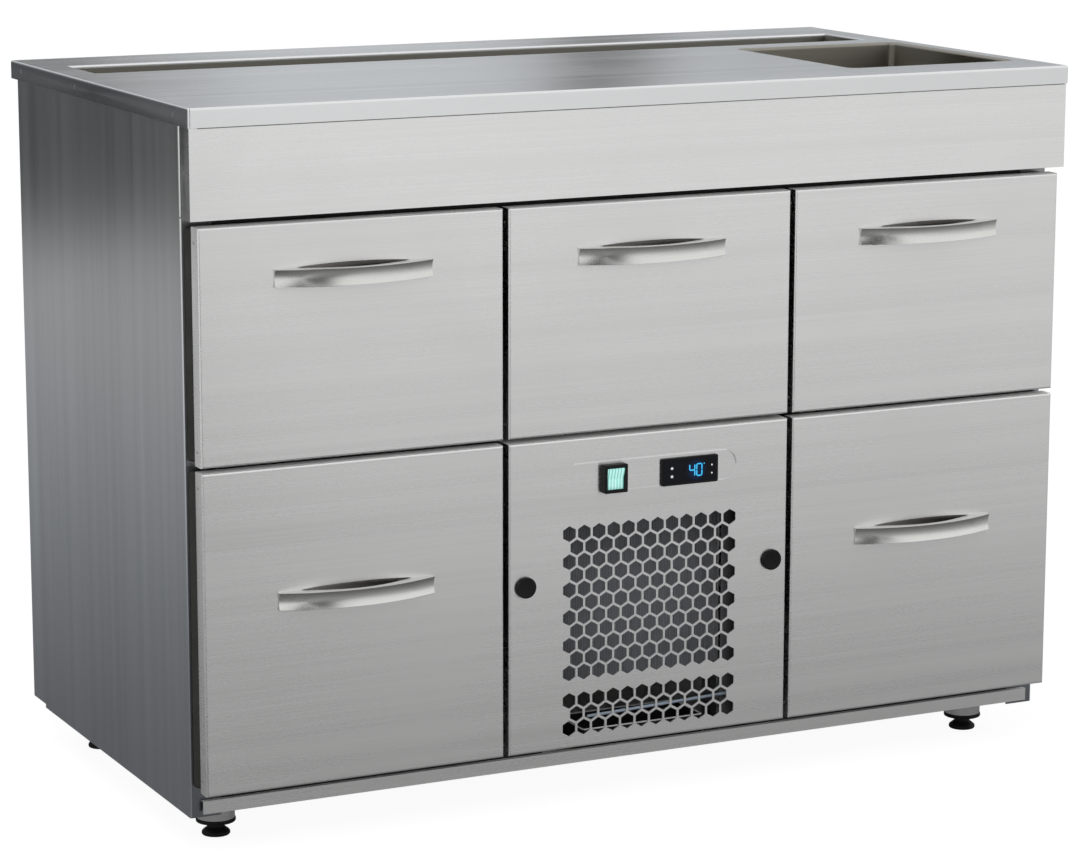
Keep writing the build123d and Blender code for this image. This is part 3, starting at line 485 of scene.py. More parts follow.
# %% Zinc and copper
zinc, tree, shader, coordinates = new_finish("spangled_zinc")
spangle = add_node(tree, "TexVoronoi", {"Vector": coordinates, "Scale": 90.0, "Randomness": 1.0})
cell = add_node(tree, "SeparateColor", {0: spangle.outputs["Color"]}).outputs[0]
feed(tree, shader, {"Base Color": mix_colours(tree, cell, (0.46, 0.47, 0.48), (0.60, 0.61, 0.62)),
                    "Roughness": spread(tree, cell, 0.0, 1.0, 0.36, 0.5), "Metallic": 1.0})

copper, tree, shader, coordinates = new_finish("drawn_copper")
tarnish = use_group(tree, "wiping_marks", {"Vector": coordinates, "Scale": 28.0})["Mark"]
feed(tree, shader, {"Base Color": mix_colours(tree, tarnish, (0.72, 0.38, 0.22), (0.42, 0.22, 0.14)),
                    "Roughness": spread(tree, tarnish, 0.0, 1.0, 0.22, 0.42), "Metallic": 1.0})
print("zinc and copper made")

# %% Fins and baffles
fin_pitch = 0.0022
end_plate = 0.002
baffle_width = 0.034
condenser_low, condenser_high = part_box("condenser")

fins, tree, shader, coordinates = new_finish("close_fins")
from_first_gap = math_node(tree, "SUBTRACT", split(tree, coordinates)["X"], condenser_low.x + end_plate)
turns = math_node(tree, "MULTIPLY", from_first_gap, math.pi / fin_pitch)
stripe = math_node(tree, "ABSOLUTE", math_node(tree, "SINE", turns))
dust = use_group(tree, "wiping_marks", {"Vector": coordinates, "Scale": 40.0})["Mark"]
# Painted highlight on the fin edges and painted shade between the fins.
tone = mix_colours(tree, stripe, (0.15, 0.155, 0.17), (0.39, 0.40, 0.43))
tone = mix_colours(tree, math_node(tree, "MULTIPLY", dust, 0.12), tone, (0.16, 0.15, 0.14))
feed(tree, shader, {"Base Color": tone, "Metallic": 0.3, "Roughness": 0.5})
add_bump(tree, shader, stripe, 0.0004, 0.6)

baffle_plastic, tree, shader, coordinates = new_finish("grey_baffle")
run = math_node(tree, "ABSOLUTE", split(tree, coordinates)["X"])
# Painted shade: each baffle darkens from the condenser's edge outwards.
dark = spread(tree, run, condenser_high.x, condenser_high.x + 0.7 * baffle_width, 0.0, 1.0)
feed(tree, shader, {"Base Color": mix_colours(tree, dark, (0.15, 0.15, 0.16), (0.015, 0.015, 0.017)),
                    "Roughness": 0.6, "Specular IOR Level": 0.2})
print("finishes:", len(bpy.data.materials))

# %% [markdown]
# ## The lit rocker
# The switch has a translucent green rocker with upright ribs inside, and a neon lamp behind it that shows
# as two bright spots. The ribs are a sine wave along X that drives the glow and the bump together. The
# spots fade with the distance from two points, so they belong to the rocker and tilt with it.

# %% Rocker finish
rib_waves = 760.0
lamp_aside = -0.003
lamp_lift = 0.0075
rocker_low, rocker_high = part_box("switch_rocker")
rocker_middle = (rocker_low + rocker_high) / 2

rocker_glow, tree, shader, coordinates = new_finish("lit_rocker")
waves = math_node(tree, "MULTIPLY", split(tree, coordinates)["X"], rib_waves)
rib = math_node(tree, "ABSOLUTE", math_node(tree, "SINE", waves))
spots = []
for lift in (-lamp_lift, lamp_lift):
    lamp = rocker_middle + Vector((lamp_aside, 0, lift))
    away = add_node(tree, "VectorMath", {0: coordinates, 1: lamp}, operation="DISTANCE").outputs["Value"]
    spots.append(spread(tree, away, 0.0015, 0.0085, 1.0, 0.0))
spot = math_node(tree, "MAXIMUM", *spots)
pale = mix_colours(tree, rib, (0.13, 0.50, 0.45), (0.55, 0.90, 0.84))
feed(tree, shader, {"Base Color": pale, "Roughness": 0.2, "Emission Strength": 0.30,
                    "Emission Color": mix_colours(tree, spot, pale, (0.92, 1.0, 0.98))})
add_bump(tree, shader, rib, 0.0004, 0.5)
print("rocker lit at", [round(v, 4) for v in rocker_middle])

# %% [markdown]
# ## Dressing the CAD nodes
# A CAD node keeps its mesh and its place. Only the material in its slot changes, so each finish is handed
# out by the names of the nodes.

# %% Hand out the finishes
drawer_names = ["upper_left", "upper_middle", "upper_right", "lower_left", "lower_right"]
corner_names = ["front_left", "front_right", "rear_left", "rear_right"]


def for_drawers(kind):
    """The five nodes of one kind."""
    return [kind + name for name in drawer_names]


finishes = {
    front_steel: ["base_frame", "service_panel"] + for_drawers("drawer_front_"),
    fascia_steel: ["fascia_panel"],
    side_steel: ["side_panel_left", "side_panel_right"],
    top_steel: ["worktop"],
    well_steel_shaded: ["rear_trough", "basin"],
    handle_steel: for_drawers("handle_"),
    box_steel: for_drawers("drawer_box_"),
    runner_steel: ["cabinet_runners"] + for_drawers("mid_runners_"),
    seal_rubber: for_drawers("gasket_"),
    liner_plastic: ["cabinet_insulation", "partition_walls", "chamber_floors"],
    black_plastic: ["cable_gland", "switch_bezel", "thermostat", "condenser_fan", "evaporator_fan",
                    "thumb_screw_left", "thumb_screw_right"] + ["foot_" + name for name in corner_names],
    rocker_glow: ["switch_rocker"],
    white_plastic: ["thermostat_button_upper", "thermostat_button_lower"],
    fins: ["condenser", "evaporator"],
    zinc: ["back_panel", "cross_rails"],
    tray_plastic: ["condensate_tray"],
    compressor_paint: ["compressor", "fan_shroud"],
    copper: ["refrigerant_pipes"],
    collar_steel: ["foot_sockets"],
}
for finish, names in finishes.items():
    for name in names:
        nodes[name].data.materials.clear()
        nodes[name].data.materials.append(finish)
dressed = {name for names in finishes.values() for name in names}
print("dressed:", len(dressed), "left bare:", sorted(set(nodes) - dressed))

# %% [markdown]
# ## Tools for new pieces
# New pieces are made in a bmesh. Most small parts of a counter are turned or bent from a profile, so two
# helpers cover them: one spins a profile of radii and heights into a round part, and one bridges rounded
# rectangles into a frame. The finished mesh keeps its place in its vertices, so its object stays at the
# origin, and rides on the CAD body that carries it.

# %% Placing a piece
facing = {
    "up": Matrix.Identity(4),
    "front": Matrix.Rotation(math.radians(90), 4, "X"),
    "back": Matrix.Rotation(math.radians(-90), 4, "X"),
    "left": Matrix.Rotation(math.radians(-90), 4, "Y"),
    "right": Matrix.Rotation(math.radians(90), 4, "Y"),
}


def join(target, part, place=(0, 0, 0), side="up"):
    """Turns a part from +Z towards a side of the counter, moves it there and adds it to the target."""
    part.transform(Matrix.Translation(place) @ facing[side])
    carrier = bpy.data.meshes.new("carrier")
    part.to_mesh(carrier)
    part.free()
    target.from_mesh(carrier)
    bpy.data.meshes.remove(carrier)


def add_piece(shape, name, finish, body, replaced=(), crease=32.0):
    """Makes the finished bmesh an object with one finish that rides on a CAD body."""
    piece = make_object(name, shape, finish)
    piece.data.shade_smooth()
    piece.data.set_sharp_from_angle(angle=math.radians(crease))
    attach(piece, body)
    if replaced:
        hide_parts(*replaced)
    print("made", name, "with", len(piece.data.polygons), "faces")
    return piece


print("sides a part can face:", list(facing))

# %% Turned and framed parts
def turned(profile, steps=32):
    """Spins (radius, height) points in millimetres round Z."""
    part = bmesh.new()
    points = [part.verts.new((radius / 1000, 0, height / 1000)) for radius, height in profile]
    line = [part.edges.new(pair) for pair in zip(points, points[1:])]
    bmesh.ops.spin(part, geom=points + line, cent=(0, 0, 0), axis=(0, 0, 1), angle=math.tau, steps=steps,
                   use_merge=True)
    bmesh.ops.remove_doubles(part, verts=part.verts, dist=1e-6)
    bmesh.ops.recalc_face_normals(part, faces=part.faces)
    return part


def rounded_loop(part, half_x, half_y, corner, height):
    """Edges of a rounded rectangle, flat at one height."""
    made = bmesh.ops.create_grid(part, x_segments=1, y_segments=1, size=1.0)["verts"]
    bmesh.ops.scale(part, verts=made, vec=(half_x, half_y, 1))
    bmesh.ops.translate(part, verts=made, vec=(0, 0, height))
    rounded = bmesh.ops.bevel(part, geom=made, offset=corner, affect="VERTICES", segments=4, profile=0.5,
                              material=-1)
    loop = list(dict.fromkeys(edge for vert in rounded["verts"] for edge in vert.link_edges))
    inside = list(dict.fromkeys(face for edge in loop for face in edge.link_faces))
    bmesh.ops.delete(part, geom=inside, context="FACES_ONLY")
    return loop


def framed(half_x, half_y, corner, section):
    """A frame; each point of its section says how far it reaches along X, along Y and up, in millimetres."""
    sharpest = 0.0004
    part = bmesh.new()
    loops = []
    for out_x, out_y, height in section:
        bend = max(corner + out_y / 1000, sharpest)
        loops.append(rounded_loop(part, half_x + out_x / 1000, half_y + out_y / 1000, bend, height / 1000))
    for near, far in zip(loops, loops[1:] + loops[:1]):
        bmesh.ops.bridge_loops(part, edges=near + far)
    bmesh.ops.recalc_face_normals(part, faces=part.faces)
    return part


def round_section(radius, inset, steps):
    """A round bead for a frame, in millimetres; inset is how far it sits inside the frame's edge."""
    turns = [math.tau * step / steps for step in range(steps)]
    return [(radius * math.cos(turn) - inset, radius * math.cos(turn) - inset, radius * math.sin(turn))
            for turn in turns]


print("part helpers ready")

# %% [markdown]
# ## Door seals
# Each drawer front closes on a soft hollow seal: a flat foot that clips into the pan, a narrow neck, and a
# round bulb that is squeezed against the body. On the upright sides a thin lip flares out over the body, as
# the photograph shows on the left. The seal is drawn as a section and carried round a rounded rectangle.

# %% Door seals
seal_corner = 0.006
seal_section = [(0, 0, 17.2), (0, 0, 14.2), (-2.4, -2.4, 13.2), (-2.6, -2.6, 12.0), (-0.5, -0.7, 10.4),
                (0.6, 0, 7.4), (1.8, -0.2, 3.6), (4.0, -0.8, 1.2), (3.8, -2.0, 0.4), (-13.4, -13.4, 0.4),
                (-15.6, -15.6, 3.6), (-16, -16, 7.4), (-15.3, -15.3, 10.4), (-13.4, -13.4, 12.0),
                (-13.6, -13.6, 13.2), (-16, -16, 14.2), (-16, -16, 17.2)]
for name in drawer_names:
    low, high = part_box("gasket_" + name)
    middle = (low + high) / 2
    half = (high - low) / 2
    shape = bmesh.new()
    seal = framed(half.x, half.z, seal_corner, seal_section)
    join(shape, seal, (middle.x, high.y, middle.z), "front")
    add_piece(shape, "door_seal_" + name, seal_rubber, "drawer_" + name, ["gasket_" + name])

# %% [markdown]
# ## Finger cups
# Behind each bow the fingers reach into a lens-shaped pocket, lined with a dark moulded cup. Its upper edge
# and its left-hand end get painted light, which fades to the right. A vertex spun about a far centre draws
# an arc, and two arcs that meet at their tips make the plan of the cup, which is pulled down and closed. A
# number on each vertex, a mesh attribute, tells the finish how much painted light to show. The bow's front
# wall ends in a narrow rim, cut from two more arcs.

# %% Bow plan
cup_half = 0.0721
tip_depth = 0.005
pan_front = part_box("drawer_front_upper_left")[0].y


def bow_arc(part, half, tip_y, crown_y):
    """Draws an arc from tip to tip through its crown, flat at height zero."""
    rise = crown_y - tip_y
    radius = (half * half + rise * rise) / (2 * rise)
    start = part.verts.new((-half, tip_y, 0))
    bmesh.ops.spin(part, geom=[start], cent=(0, crown_y - radius, 0), axis=(0, 0, 1),
                   angle=-2 * math.asin(half / radius), steps=24)


def bow_plan(*crowns):
    """Two arcs that meet at the bow's tips; each crown is a place measured from the pan's face."""
    part = bmesh.new()
    for crown in crowns:
        bow_arc(part, cup_half, pan_front + tip_depth, pan_front + crown)
    bmesh.ops.remove_doubles(part, verts=part.verts, dist=1e-5)
    return part


def close_sheet(part, edges, thickness):
    """Fills a loop of edges and makes the whole sheet thick."""
    bmesh.ops.contextual_create(part, geom=edges)
    bmesh.ops.recalc_face_normals(part, faces=part.faces)
    bmesh.ops.solidify(part, geom=part.faces[:], thickness=thickness)


print("bows are", round(2000 * cup_half), "mm from tip to tip")

# %% Finger cups
cup_plastic, tree, shader, coordinates = new_finish("finger_cup")
# lit_edge holds painted light for the cup's upper edge and its left-hand end.
lit_edge = add_node(tree, "Attribute", attribute_name="lit_edge").outputs["Fac"]
skin = use_group(tree, "fine_pitting", {"Vector": coordinates, "Scale": 900.0})
worn = mix_colours(tree, skin["Mark"], *shades((0.05, 0.045, 0.038), 0.2))
feed(tree, shader, {"Base Color": mix_colours(tree, lit_edge, worn, (0.75, 0.73, 0.70)), "Roughness": 0.5,
                    "Specular IOR Level": 0.2})
add_bump(tree, shader, skin["Height"], 0.00012)

cup_steps = (0.0045, 0.0127)
cup_wall = 0.0003
cup_drop = 0.0002
for name in drawer_names:
    low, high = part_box("handle_" + name)
    cup = bow_plan(-0.0214, 0.0204)
    edge_light = cup.verts.layers.float.new("lit_edge")
    for vert in cup.verts:
        vert[edge_light] = 1.0
    loop = cup.edges[:]
    for step in cup_steps:
        made = bmesh.ops.extrude_edge_only(cup, edges=loop)["geom"]
        lowered = verts_of(made)
        bmesh.ops.translate(cup, vec=(0, 0, -step), verts=lowered)
        for vert in lowered:
            from_right = max(0.0, 0.5 - 0.5 * vert.co.x / cup_half)
            vert[edge_light] = from_right ** 1.5
        loop = [part for part in made if isinstance(part, bmesh.types.BMEdge)]
        loop = [edge for edge in loop if all(vert in lowered for vert in edge.verts)]
    close_sheet(cup, loop, cup_wall)
    shape = bmesh.new()
    join(shape, cup, ((low.x + high.x) / 2, 0, high.z - cup_drop))
    add_piece(shape, "finger_cup_" + name, cup_plastic, "drawer_" + name)

# %% Bow rims
rim_thickness = 0.0008
rim_drop = 0.0009
for name in drawer_names:
    low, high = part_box("handle_" + name)
    rim = bow_plan(-0.0216, -0.0172)
    close_sheet(rim, rim.edges[:], rim_thickness)
    shape = bmesh.new()
    join(shape, rim, ((low.x + high.x) / 2, 0, high.z - rim_drop))
    add_piece(shape, "bow_rim_" + name, handle_steel, "drawer_" + name)

# %% [markdown]
# ## Rivets on the drawer fronts
# The folded corners of each steel pan are riveted through its sides, near the top and the bottom. Only the
# left-hand sides show in the photograph, but a pan is made alike on both.

# %% Rivets
rivet_profile = [(0, 0.9), (0.9, 0.82), (1.6, 0.5), (2.0, 0.0), (2.0, -0.4)]
rivet_inset = 0.018
rivet_depth = 0.012
for name in drawer_names:
    low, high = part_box("drawer_front_" + name)
    shape = bmesh.new()
    for z in (low.z + rivet_inset, high.z - rivet_inset):
        for x, side in ((low.x, "left"), (high.x, "right")):
            join(shape, turned(rivet_profile, 16), (x, low.y + rivet_depth, z), side)
    add_piece(shape, "pan_rivets_" + name, screw_steel, "drawer_" + name)

# %% [markdown]
# ## Screws in the worktop's edge and the back panel
# The worktop is held by small flush screws through its folded ends, and the zinc back panel by rows of
# washer-head screws. A washer head is a turned dome on a flange, with a hexagon on top of it.

# %% Worktop screws
flush_profile = [(0, 0.02), (1.2, 0.02), (1.5, 0.06), (2.9, 0.06), (3.2, 0.01), (3.2, -0.3)]
edge_screw_z = 0.8893
low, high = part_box("worktop")
shape = bmesh.new()
for y in (0.292, 0.080, -0.2655):
    for x, side in ((low.x, "left"), (high.x, "right")):
        join(shape, turned(flush_profile, 20), (x, y, edge_screw_z), side)
add_piece(shape, "worktop_edge_screws", screw_steel, "cabinet")

# %% Back panel screws
washer_profile = [(0, 1.6), (3.3, 1.6), (4.2, 1.2), (6.0, 0.9), (6.5, 0.4), (6.5, -0.3)]
hexagon_lift = 0.0030
back_inset = 0.02
low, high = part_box("back_panel")
shape = bmesh.new()
columns = [low.x + back_inset + (high.x - low.x - 2 * back_inset) * step / 4 for step in range(5)]
rows = [low.z + back_inset + (high.z - low.z - 2 * back_inset) * step / 3 for step in range(4)]
for x in columns:
    for z in rows:
        if z in rows[1:-1] and x not in (columns[0], columns[-1]):
            continue
        join(shape, turned(washer_profile, 24), (x, high.y, z), "back")
        hexagon = bmesh.new()
        bmesh.ops.create_cone(hexagon, cap_ends=True, segments=6, radius1=0.0036, radius2=0.0034,
                              depth=0.0036)
        bmesh.ops.bevel(hexagon, geom=hexagon.edges, offset=0.0004, affect="EDGES", segments=1, profile=0.5,
                        material=-1)
        join(shape, hexagon, (x, high.y + hexagon_lift, z), "back")
add_piece(shape, "back_panel_screws", screw_steel, "cabinet")

# %% [markdown]
# ## The joint under the worktop
# A thin grey bead lies in the corner between the worktop's folded edge and the fascia, as painted shade for
# the narrow dark gap there. It is a slim bar with rounded ends, lying in that corner.

# %% Sealant bead
# Painted shade: a grey bar where the gap under the worktop's edge shows dark.
joint_shade_grey = moulded("painted_joint_shade", (0.22, 0.22, 0.215), 0.5, change=0.12, gloss=0.3)
worktop_low, worktop_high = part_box("worktop")
fascia_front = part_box("fascia_panel")[0].y
bead_start = 12.0
bead_end = 1000 * (worktop_high.x - worktop_low.x) - 4.0
bead_profile = [(0, bead_start), (0.6, bead_start + 0.2), (0.9, bead_start + 0.8), (0.9, bead_end - 0.8),
                (0.6, bead_end - 0.2), (0, bead_end)]
bead_place = (worktop_low.x, fascia_front - 0.0003, worktop_low.z - 0.0005)
shape = bmesh.new()
join(shape, turned(bead_profile, 12), bead_place, "right")
add_piece(shape, "joint_shade_bead", joint_shade_grey, "cabinet")

# %% [markdown]
# ## The control plate
# The switch and the thermostat sit in a long field with round ends, pressed a fraction of a millimetre into
# the sheet. Only its edge shows, as a narrow line: bright along the top, dark and then bright round the
# right end, lost at the left. That light and shade are painted. Two circles, one inside the other, are
# pulled apart into ovals and bridged to a ribbon. Each of its vertices holds a tone of painted light, read
# from a short table of angles, and the finish mixes its steel from it.

# %% Pressed edge finish
edge_steel = brushed_steel("pressed_edge", (0.785, 0.785, 0.78), 0.27, "X", 0.05, lines=450.0, bump=0.012)
tree = edge_steel.node_tree
# The edge's colour runs from grey to white by the painted light that each vertex holds.
tone = add_node(tree, "Attribute", attribute_name="painted_edge_light").outputs["Fac"]
feed(tree, tree.nodes["Principled BSDF"],
     {"Base Color": mix_colours(tree, tone, (0.48, 0.48, 0.48), (1.0, 1.0, 1.0))})
painted_top_light = 0.9
painted_bottom_light = 0.62
painted_light_table = [(-90, 0.9), (-55, 0.62), (-30, 0.74), (-10, 0.70), (3, 0.2), (15, 0.0), (38, 0.1), (55, 0.4),
              (66, 0.6), (78, 1.0), (90, 1.0)]


def painted_light_at(angle):
    """Reads the table of painted light, with straight lines between its entries."""
    for (low_angle, low_tone), (high_angle, high_tone) in zip(painted_light_table, painted_light_table[1:]):
        if angle <= high_angle:
            return low_tone + (high_tone - low_tone) * (angle - low_angle) / (high_angle - low_angle)
    return painted_light_table[-1][1]


print("tone straight to the right:", round(painted_light_at(0), 2))

# %% Control plate
plate_radius = 0.0198
plate_half = 0.121
plate_lift = 0.0029
line_width = 0.0018
line_height = 0.0001
left_end = 0.006
ring_steps = 96
panel_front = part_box("service_panel")[0].y
thermostat_low, thermostat_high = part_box("thermostat")
control_z = (thermostat_low.z + thermostat_high.z) / 2

plate = bmesh.new()
centre_x = plate_half - plate_radius
half_step = Matrix.Rotation(math.pi / ring_steps, 3, "Z")
for radius in (plate_radius, plate_radius - line_width):
    ring = bmesh.ops.create_circle(plate, segments=ring_steps, radius=radius)["verts"]
    bmesh.ops.rotate(plate, verts=ring, cent=(0, 0, 0), matrix=half_step)
    for side in (-1, 1):
        bmesh.ops.translate(plate, verts=[vert for vert in ring if vert.co.x * side > 0],
                            vec=(side * centre_x, 0, 0))
bmesh.ops.bridge_loops(plate, edges=plate.edges[:])
lost = [vert for vert in plate.verts if vert.co.x < -centre_x - left_end]
bmesh.ops.delete(plate, geom=lost, context="VERTS")
painted_edge_light = plate.verts.layers.float.new("painted_edge_light")
for vert in plate.verts:
    turn = math.degrees(math.atan2(vert.co.y, vert.co.x - centre_x))
    painted_left_light = painted_top_light if vert.co.y > 0 else painted_bottom_light
    vert[painted_edge_light] = painted_light_at(turn) if vert.co.x > 0 else painted_left_light
bmesh.ops.recalc_face_normals(plate, faces=plate.faces)
bmesh.ops.solidify(plate, geom=plate.faces[:], thickness=line_height)
shape = bmesh.new()
join(shape, plate, (0, panel_front - line_height, control_z + plate_lift), "front")
add_piece(shape, "control_plate", edge_steel, "service_cover")

# %% [markdown]
# ## The thermostat's face
# A dark gloss window covers the display. Its digits are made of seven bars, as on any such display: a bar
# is a rectangle with its corners cut off, and a table says which bars each digit lights. Two small lamps
# sit at the right.

# %% Digit finish
digit_blue, tree, shader, coordinates = new_finish("lit_digits")
flicker = use_group(tree, "fine_pitting", {"Vector": coordinates, "Scale": 600.0})["Mark"]
feed(tree, shader, {"Emission Color": mix_colours(tree, flicker, (0.02, 0.42, 0.80), (0.06, 0.52, 0.90)),
                    "Base Color": mix_colours(tree, flicker, (0.01, 0.10, 0.20), (0.02, 0.14, 0.24)),
                    "Emission Strength": 1.0})
print("digits glow in", digit_blue.name)

# %% Display digits
def flat_plate(width, height, corner, segments, thickness):
    """A thin plate with cut or rounded corners, standing on height zero."""
    part = bmesh.new()
    corners = bmesh.ops.create_grid(part, x_segments=1, y_segments=1, size=0.5)["verts"]
    bmesh.ops.scale(part, verts=corners, vec=(width, height, 1))
    bmesh.ops.bevel(part, geom=corners, offset=corner, affect="VERTICES", segments=segments, profile=0.5,
                    material=-1)
    lifted = bmesh.ops.extrude_face_region(part, geom=part.faces[:])["geom"]
    bmesh.ops.translate(part, vec=(0, 0, thickness), verts=verts_of(lifted))
    bmesh.ops.recalc_face_normals(part, faces=part.faces)
    return part


digit_width = 0.0072
digit_height = 0.0148
bar_width = 0.0016
bar_thickness = 0.0001
degree_x = 0.0732
window_thickness = 0.0004
window_front = thermostat_low.y - window_thickness
bars = {"top": (0, 1, 0), "upper_left": (-1, 0.5, 1), "upper_right": (1, 0.5, 1), "middle": (0, 0, 0),
        "lower_left": (-1, -0.5, 1), "lower_right": (1, -0.5, 1), "bottom": (0, -1, 0)}
lit = {"4": ["upper_left", "upper_right", "middle", "lower_right"],
       "0": ["top", "upper_left", "upper_right", "lower_left", "lower_right", "bottom"]}


def lit_bar(length):
    """One bar of a digit, with its corners cut off."""
    return flat_plate(length, bar_width, bar_width * 0.4, 1, bar_thickness)


shape = bmesh.new()
for digit, digit_x in (("4", 0.0565), ("0", 0.0665)):
    for bar in lit[digit]:
        across, up, upright = bars[bar]
        part = lit_bar((digit_height / 2 if upright else digit_width) - bar_width * 0.35)
        if upright:
            part.transform(Matrix.Rotation(math.radians(90), 4, "Z"))
        join(shape, part, (digit_x + across * digit_width / 2, window_front,
                           control_z + up * digit_height / 2), "front")
join(shape, lit_bar(bar_width * 1.2), (degree_x, window_front, control_z + digit_height / 2), "front")
add_piece(shape, "display_digits", digit_blue, "service_cover")

# %% Window and lamps
halo_centre = (0.0625, thermostat_low.y, control_z)
lens_plastic, tree, shader, coordinates = new_finish("display_lens")
away = add_node(tree, "VectorMath", {0: coordinates, 1: halo_centre}, operation="DISTANCE").outputs["Value"]
halo = spread(tree, away, 0.005, 0.015, 1.0, 0.0)
smear = use_group(tree, "wiping_marks", {"Vector": coordinates, "Scale": 60.0})["Mark"]
feed(tree, shader, {"Emission Color": mix_colours(tree, halo, (0.0, 0.0, 0.0), (0.001, 0.014, 0.055)),
                    "Emission Strength": 1.0, "Base Color": (0.006, 0.0065, 0.009, 1.0),
                    "Specular IOR Level": 0.14, "Roughness": spread(tree, smear, 0.0, 1.0, 0.10, 0.2)})

window_size = (0.074, 0.0290)
window_corner = 0.002
shape = bmesh.new()
join(shape, flat_plate(*window_size, window_corner, 5, window_thickness),
     ((thermostat_low.x + thermostat_high.x) / 2, thermostat_low.y, control_z), "front")
add_piece(shape, "display_window", lens_plastic, "service_cover")

lamp_profile = [(0, 0.75), (0.7, 0.68), (1.15, 0.45), (1.3, 0.2), (1.3, -0.2)]
lamp_x = 0.0843
shape = bmesh.new()
for lift in (0.0045, -0.0058):
    join(shape, turned(lamp_profile, 20), (lamp_x, thermostat_low.y, control_z + lift), "front")
add_piece(shape, "display_lamps", white_plastic, "service_cover")

# %% [markdown]
# ## Thumb screws
# Two black knobs hold the service panel. Each is turned in one piece with its shank: a straight rim with
# small rounded edges, and a face that is hollowed slightly, so it doesn't mirror as one flat disc.

# %% Thumb screws
knob_height = 0.005
knob_profile = [(0, -56.0), (3.4, -56.0), (4.0, -55.2), (4.0, 0.0), (12.2, 0.0), (12.9, 0.3), (13.2, 1.0),
                (13.2, 3.4), (12.9, 4.3), (12.2, 4.85), (11.4, 5.0), (10.6, 4.85), (9.2, 4.6), (0, 4.5)]
for side in ("left", "right"):
    low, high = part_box("thumb_screw_" + side)
    middle = (low + high) / 2
    shape = bmesh.new()
    join(shape, turned(knob_profile, 56), (middle.x, low.y + knob_height, middle.z), "front")
    add_piece(shape, "knob_" + side, black_plastic, "screw_" + side,
              ["thumb_screw_" + side])

# %% [markdown]
# ## Levelling feet
# A foot is one moulding: a flared pad with a rounded lower edge, a neck, and a broad rim that is turned by
# hand under the grey collar. The stud on top screws into the collar. The CAD foot has this outline with
# sharp corners, so the profile here is the same one with its corners eased.

# %% Levelling feet
foot_profile = [(0, 0), (14.6, 0), (16.6, 0.5), (17.4, 1.6), (17.5, 3.2), (16.9, 4.8), (13.6, 7.6),
                (11.0, 9.6), (10.1, 11.0), (10, 12.5), (10, 16.4), (10.8, 17.0), (22.9, 17.0), (24.0, 17.4),
                (24.5, 18.3), (24.5, 20.7), (24.1, 21.6), (23.2, 22.0), (6, 22.0), (6, 46.4), (5.4, 47.0),
                (0, 47.0)]
for corner in corner_names:
    low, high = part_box("foot_" + corner)
    middle = (low + high) / 2
    shape = bmesh.new()
    join(shape, turned(foot_profile, 48), (middle.x, middle.y, 0))
    add_piece(shape, "levelling_foot_" + corner, black_plastic, "levelling_foot_" + corner,
              ["foot_" + corner])

# %% [markdown]
# ## The condenser behind the grille
# Through the honeycomb the photograph shows the condenser: a pack of thin upright fins on pipes that turn
# back at both ends. One fin and an Array modifier make the pack. A sheet with eased edges closes each end
# of it. The bends are half turns of a circle, spun about the line between two pipes.

# %% Fins
fin_bottom = 0.1530
fin_thickness = 0.0005
low, high = condenser_low, condenser_high

pack = bmesh.new()
bmesh.ops.create_cube(pack, size=1.0)
fin_size = Vector((fin_thickness, high.y - low.y, high.z - fin_bottom))
first_fin = Vector((low.x + end_plate + fin_pitch / 2, (low.y + high.y) / 2, (fin_bottom + high.z) / 2))
bmesh.ops.scale(pack, verts=pack.verts, vec=fin_size)
bmesh.ops.translate(pack, verts=pack.verts, vec=first_fin)
fin_pack = add_piece(pack, "condenser_fins", fins, "cabinet", ["condenser"])
repeat = fin_pack.modifiers.new("row_of_fins", "ARRAY")
repeat.use_relative_offset = False
repeat.use_constant_offset = True
repeat.constant_offset_displace = (fin_pitch, 0, 0)
repeat.count = int((high.x - low.x - 2 * end_plate) / fin_pitch)
print("fins:", repeat.count)

# %% End plates and bends
def slab(size, eased):
    """A box with eased edges, round the origin."""
    part = bmesh.new()
    bmesh.ops.create_cube(part, size=1.0)
    bmesh.ops.scale(part, verts=part.verts, vec=size)
    bmesh.ops.bevel(part, geom=part.edges, offset=eased, affect="EDGES", segments=1, profile=0.5,
                    material=-1)
    return part


middle = (low + high) / 2
plates = bmesh.new()
for x in (low.x + end_plate / 2, high.x - end_plate / 2):
    join(plates, slab((end_plate, high.y - low.y, high.z - low.z), 0.0004), (x, middle.y, middle.z))
add_piece(plates, "condenser_end_plates", zinc, "cabinet")

pipe_radius = 0.0045
pipe_gap = 0.0122
pipe_inset = 0.011
bend_rows = [fin_bottom + 0.028 + row * 0.0535 for row in range(4)]
bends = bmesh.new()
for end, side in ((low.x, "left"), (high.x, "right")):
    for z in bend_rows:
        for y in (low.y + pipe_inset, high.y - pipe_inset):
            bend = bmesh.new()
            circle = bmesh.ops.create_circle(bend, segments=12, radius=pipe_radius)["verts"]
            bmesh.ops.translate(bend, verts=circle, vec=(pipe_gap, 0, 0))
            bmesh.ops.spin(bend, geom=bend.verts[:] + bend.edges[:], cent=(0, 0, 0), axis=(0, -1, 0),
                           angle=math.pi, steps=12)
            bmesh.ops.recalc_face_normals(bend, faces=bend.faces)
            join(bends, bend, (end, y, z), side)
add_piece(bends, "condenser_bends", compressor_paint, "cabinet")

# %% [markdown]
# ## Baffles, tray and drain
# Two grey sheets beside the condenser make the air pass through its fins and not round them, and painted
# shade darkens them outwards. Lower down lies the tray for the water that the evaporator sheds. A sheet's
# edge is stiffer when it is rolled over, so the tray gets a round bead for a rim, whose white is a painted
# highlight. In front of the tray runs a thin stiff drain pipe, turned from a profile and tilted so that it
# falls to the left. Its pale blue is a painted highlight too.

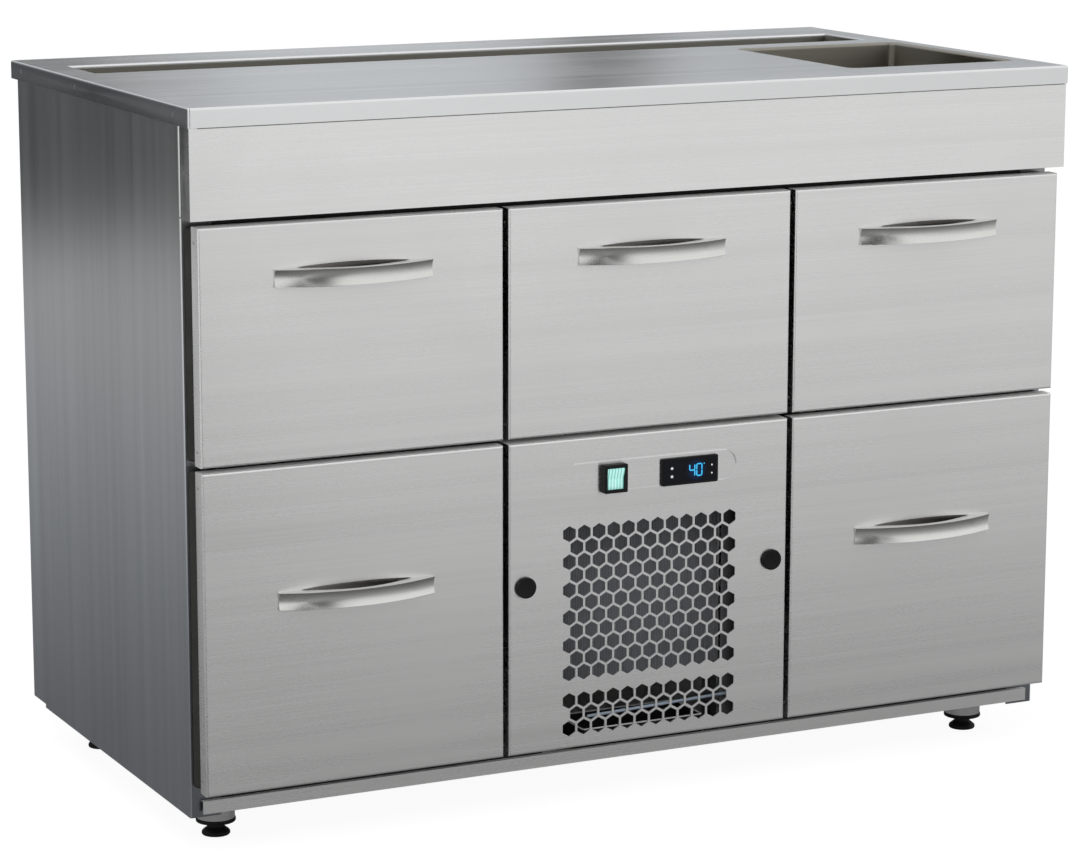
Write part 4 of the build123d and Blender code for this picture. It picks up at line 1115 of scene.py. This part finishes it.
# %% Air baffles
baffle_gap = 0.004
shape = bmesh.new()
for x in (low.x - baffle_width / 2, high.x + baffle_width / 2):
    join(shape, slab((baffle_width, 0.001, high.z - low.z), 0.0003), (x, low.y - baffle_gap, middle.z))
add_piece(shape, "air_baffles", baffle_plastic, "cabinet")

# %% Tray rim
low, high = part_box("condensate_tray")
shape = bmesh.new()
rim = framed((high.x - low.x) / 2, (high.y - low.y) / 2, 0.002, round_section(1.0, 0.6, 8))
join(shape, rim, ((low.x + high.x) / 2, (low.y + high.y) / 2, high.z))
# The rim's white is a painted highlight along the tray's edge.
add_piece(shape, "tray_rim", white_plastic, "cabinet")

# %% Drain pipe
drain_profile = [(0, 0), (1.5, 0), (1.9, 0.5), (1.9, 222), (3.2, 222.4), (3.2, 226.4), (0, 226.4)]
drain_end = Vector((-0.0639, low.y - 0.005, 0.1068))
drain_fall = math.radians(1.77)
pipe = turned(drain_profile, 16)
pipe.transform(Matrix.Rotation(-drain_fall, 4, "Y"))
shape = bmesh.new()
join(shape, pipe, drain_end, "right")
add_piece(shape, "drain_pipe", drain_painted_highlight, "cabinet")
print("drain pipe falls", round(math.degrees(drain_fall), 1), "degrees to the left")

# %% [markdown]
# ## Rims of the drawer boxes
# The sheet of each drawer box is rolled over at the top, so that no cut edge is left to touch. It shows
# when a drawer is pulled out. The rim is a round section carried along the box's upper edge.

# %% Drawer rims
drawer_half = 0.1489
drawer_corner = 0.003
for name in drawer_names:
    front_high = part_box("drawer_front_" + name)[1]
    low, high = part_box("drawer_box_" + name)
    shape = bmesh.new()
    rim = framed(drawer_half, (high.y - front_high.y) / 2, drawer_corner, round_section(2.4, 0.75, 10))
    join(shape, rim, ((low.x + high.x) / 2, (high.y + front_high.y) / 2, high.z))
    add_piece(shape, "drawer_rim_" + name, box_steel, "drawer_" + name)

# %% [markdown]
# ## The basin's strainer
# The waste in the basin's floor has a polished flange and a pierced plate. The plate starts as a grid. Each
# of its squares is inset and the middle taken out, and squares that lie outside the waste's bore go too.

# %% Strainer
waste_place = Vector((0.452, -0.077, 0.808))
waste_bore = 0.0205
bridge_width = 0.0011
plate_thickness = 0.0008
plate_drop = Vector((0, 0, -0.0015))
flange = [(20.0, -3.0), (20.0, 0.2), (20.8, 0.9), (23.5, 1.2), (29.0, 0.9), (31.0, 0.3), (31.2, 0.0)]
shape = bmesh.new()
join(shape, turned(flange, 56), waste_place)
grille = bmesh.new()
bmesh.ops.create_grid(grille, x_segments=8, y_segments=8, size=waste_bore)
outside = [face for face in grille.faces if face.calc_center_median().length > waste_bore]
bmesh.ops.delete(grille, geom=outside, context="FACES")
holes = grille.faces[:]
bmesh.ops.inset_individual(grille, faces=holes, thickness=bridge_width)
bmesh.ops.delete(grille, geom=holes, context="FACES")
bmesh.ops.solidify(grille, geom=grille.faces[:], thickness=plate_thickness)
join(shape, grille, waste_place + plate_drop)
add_piece(shape, "basin_strainer", handle_steel, "cabinet")
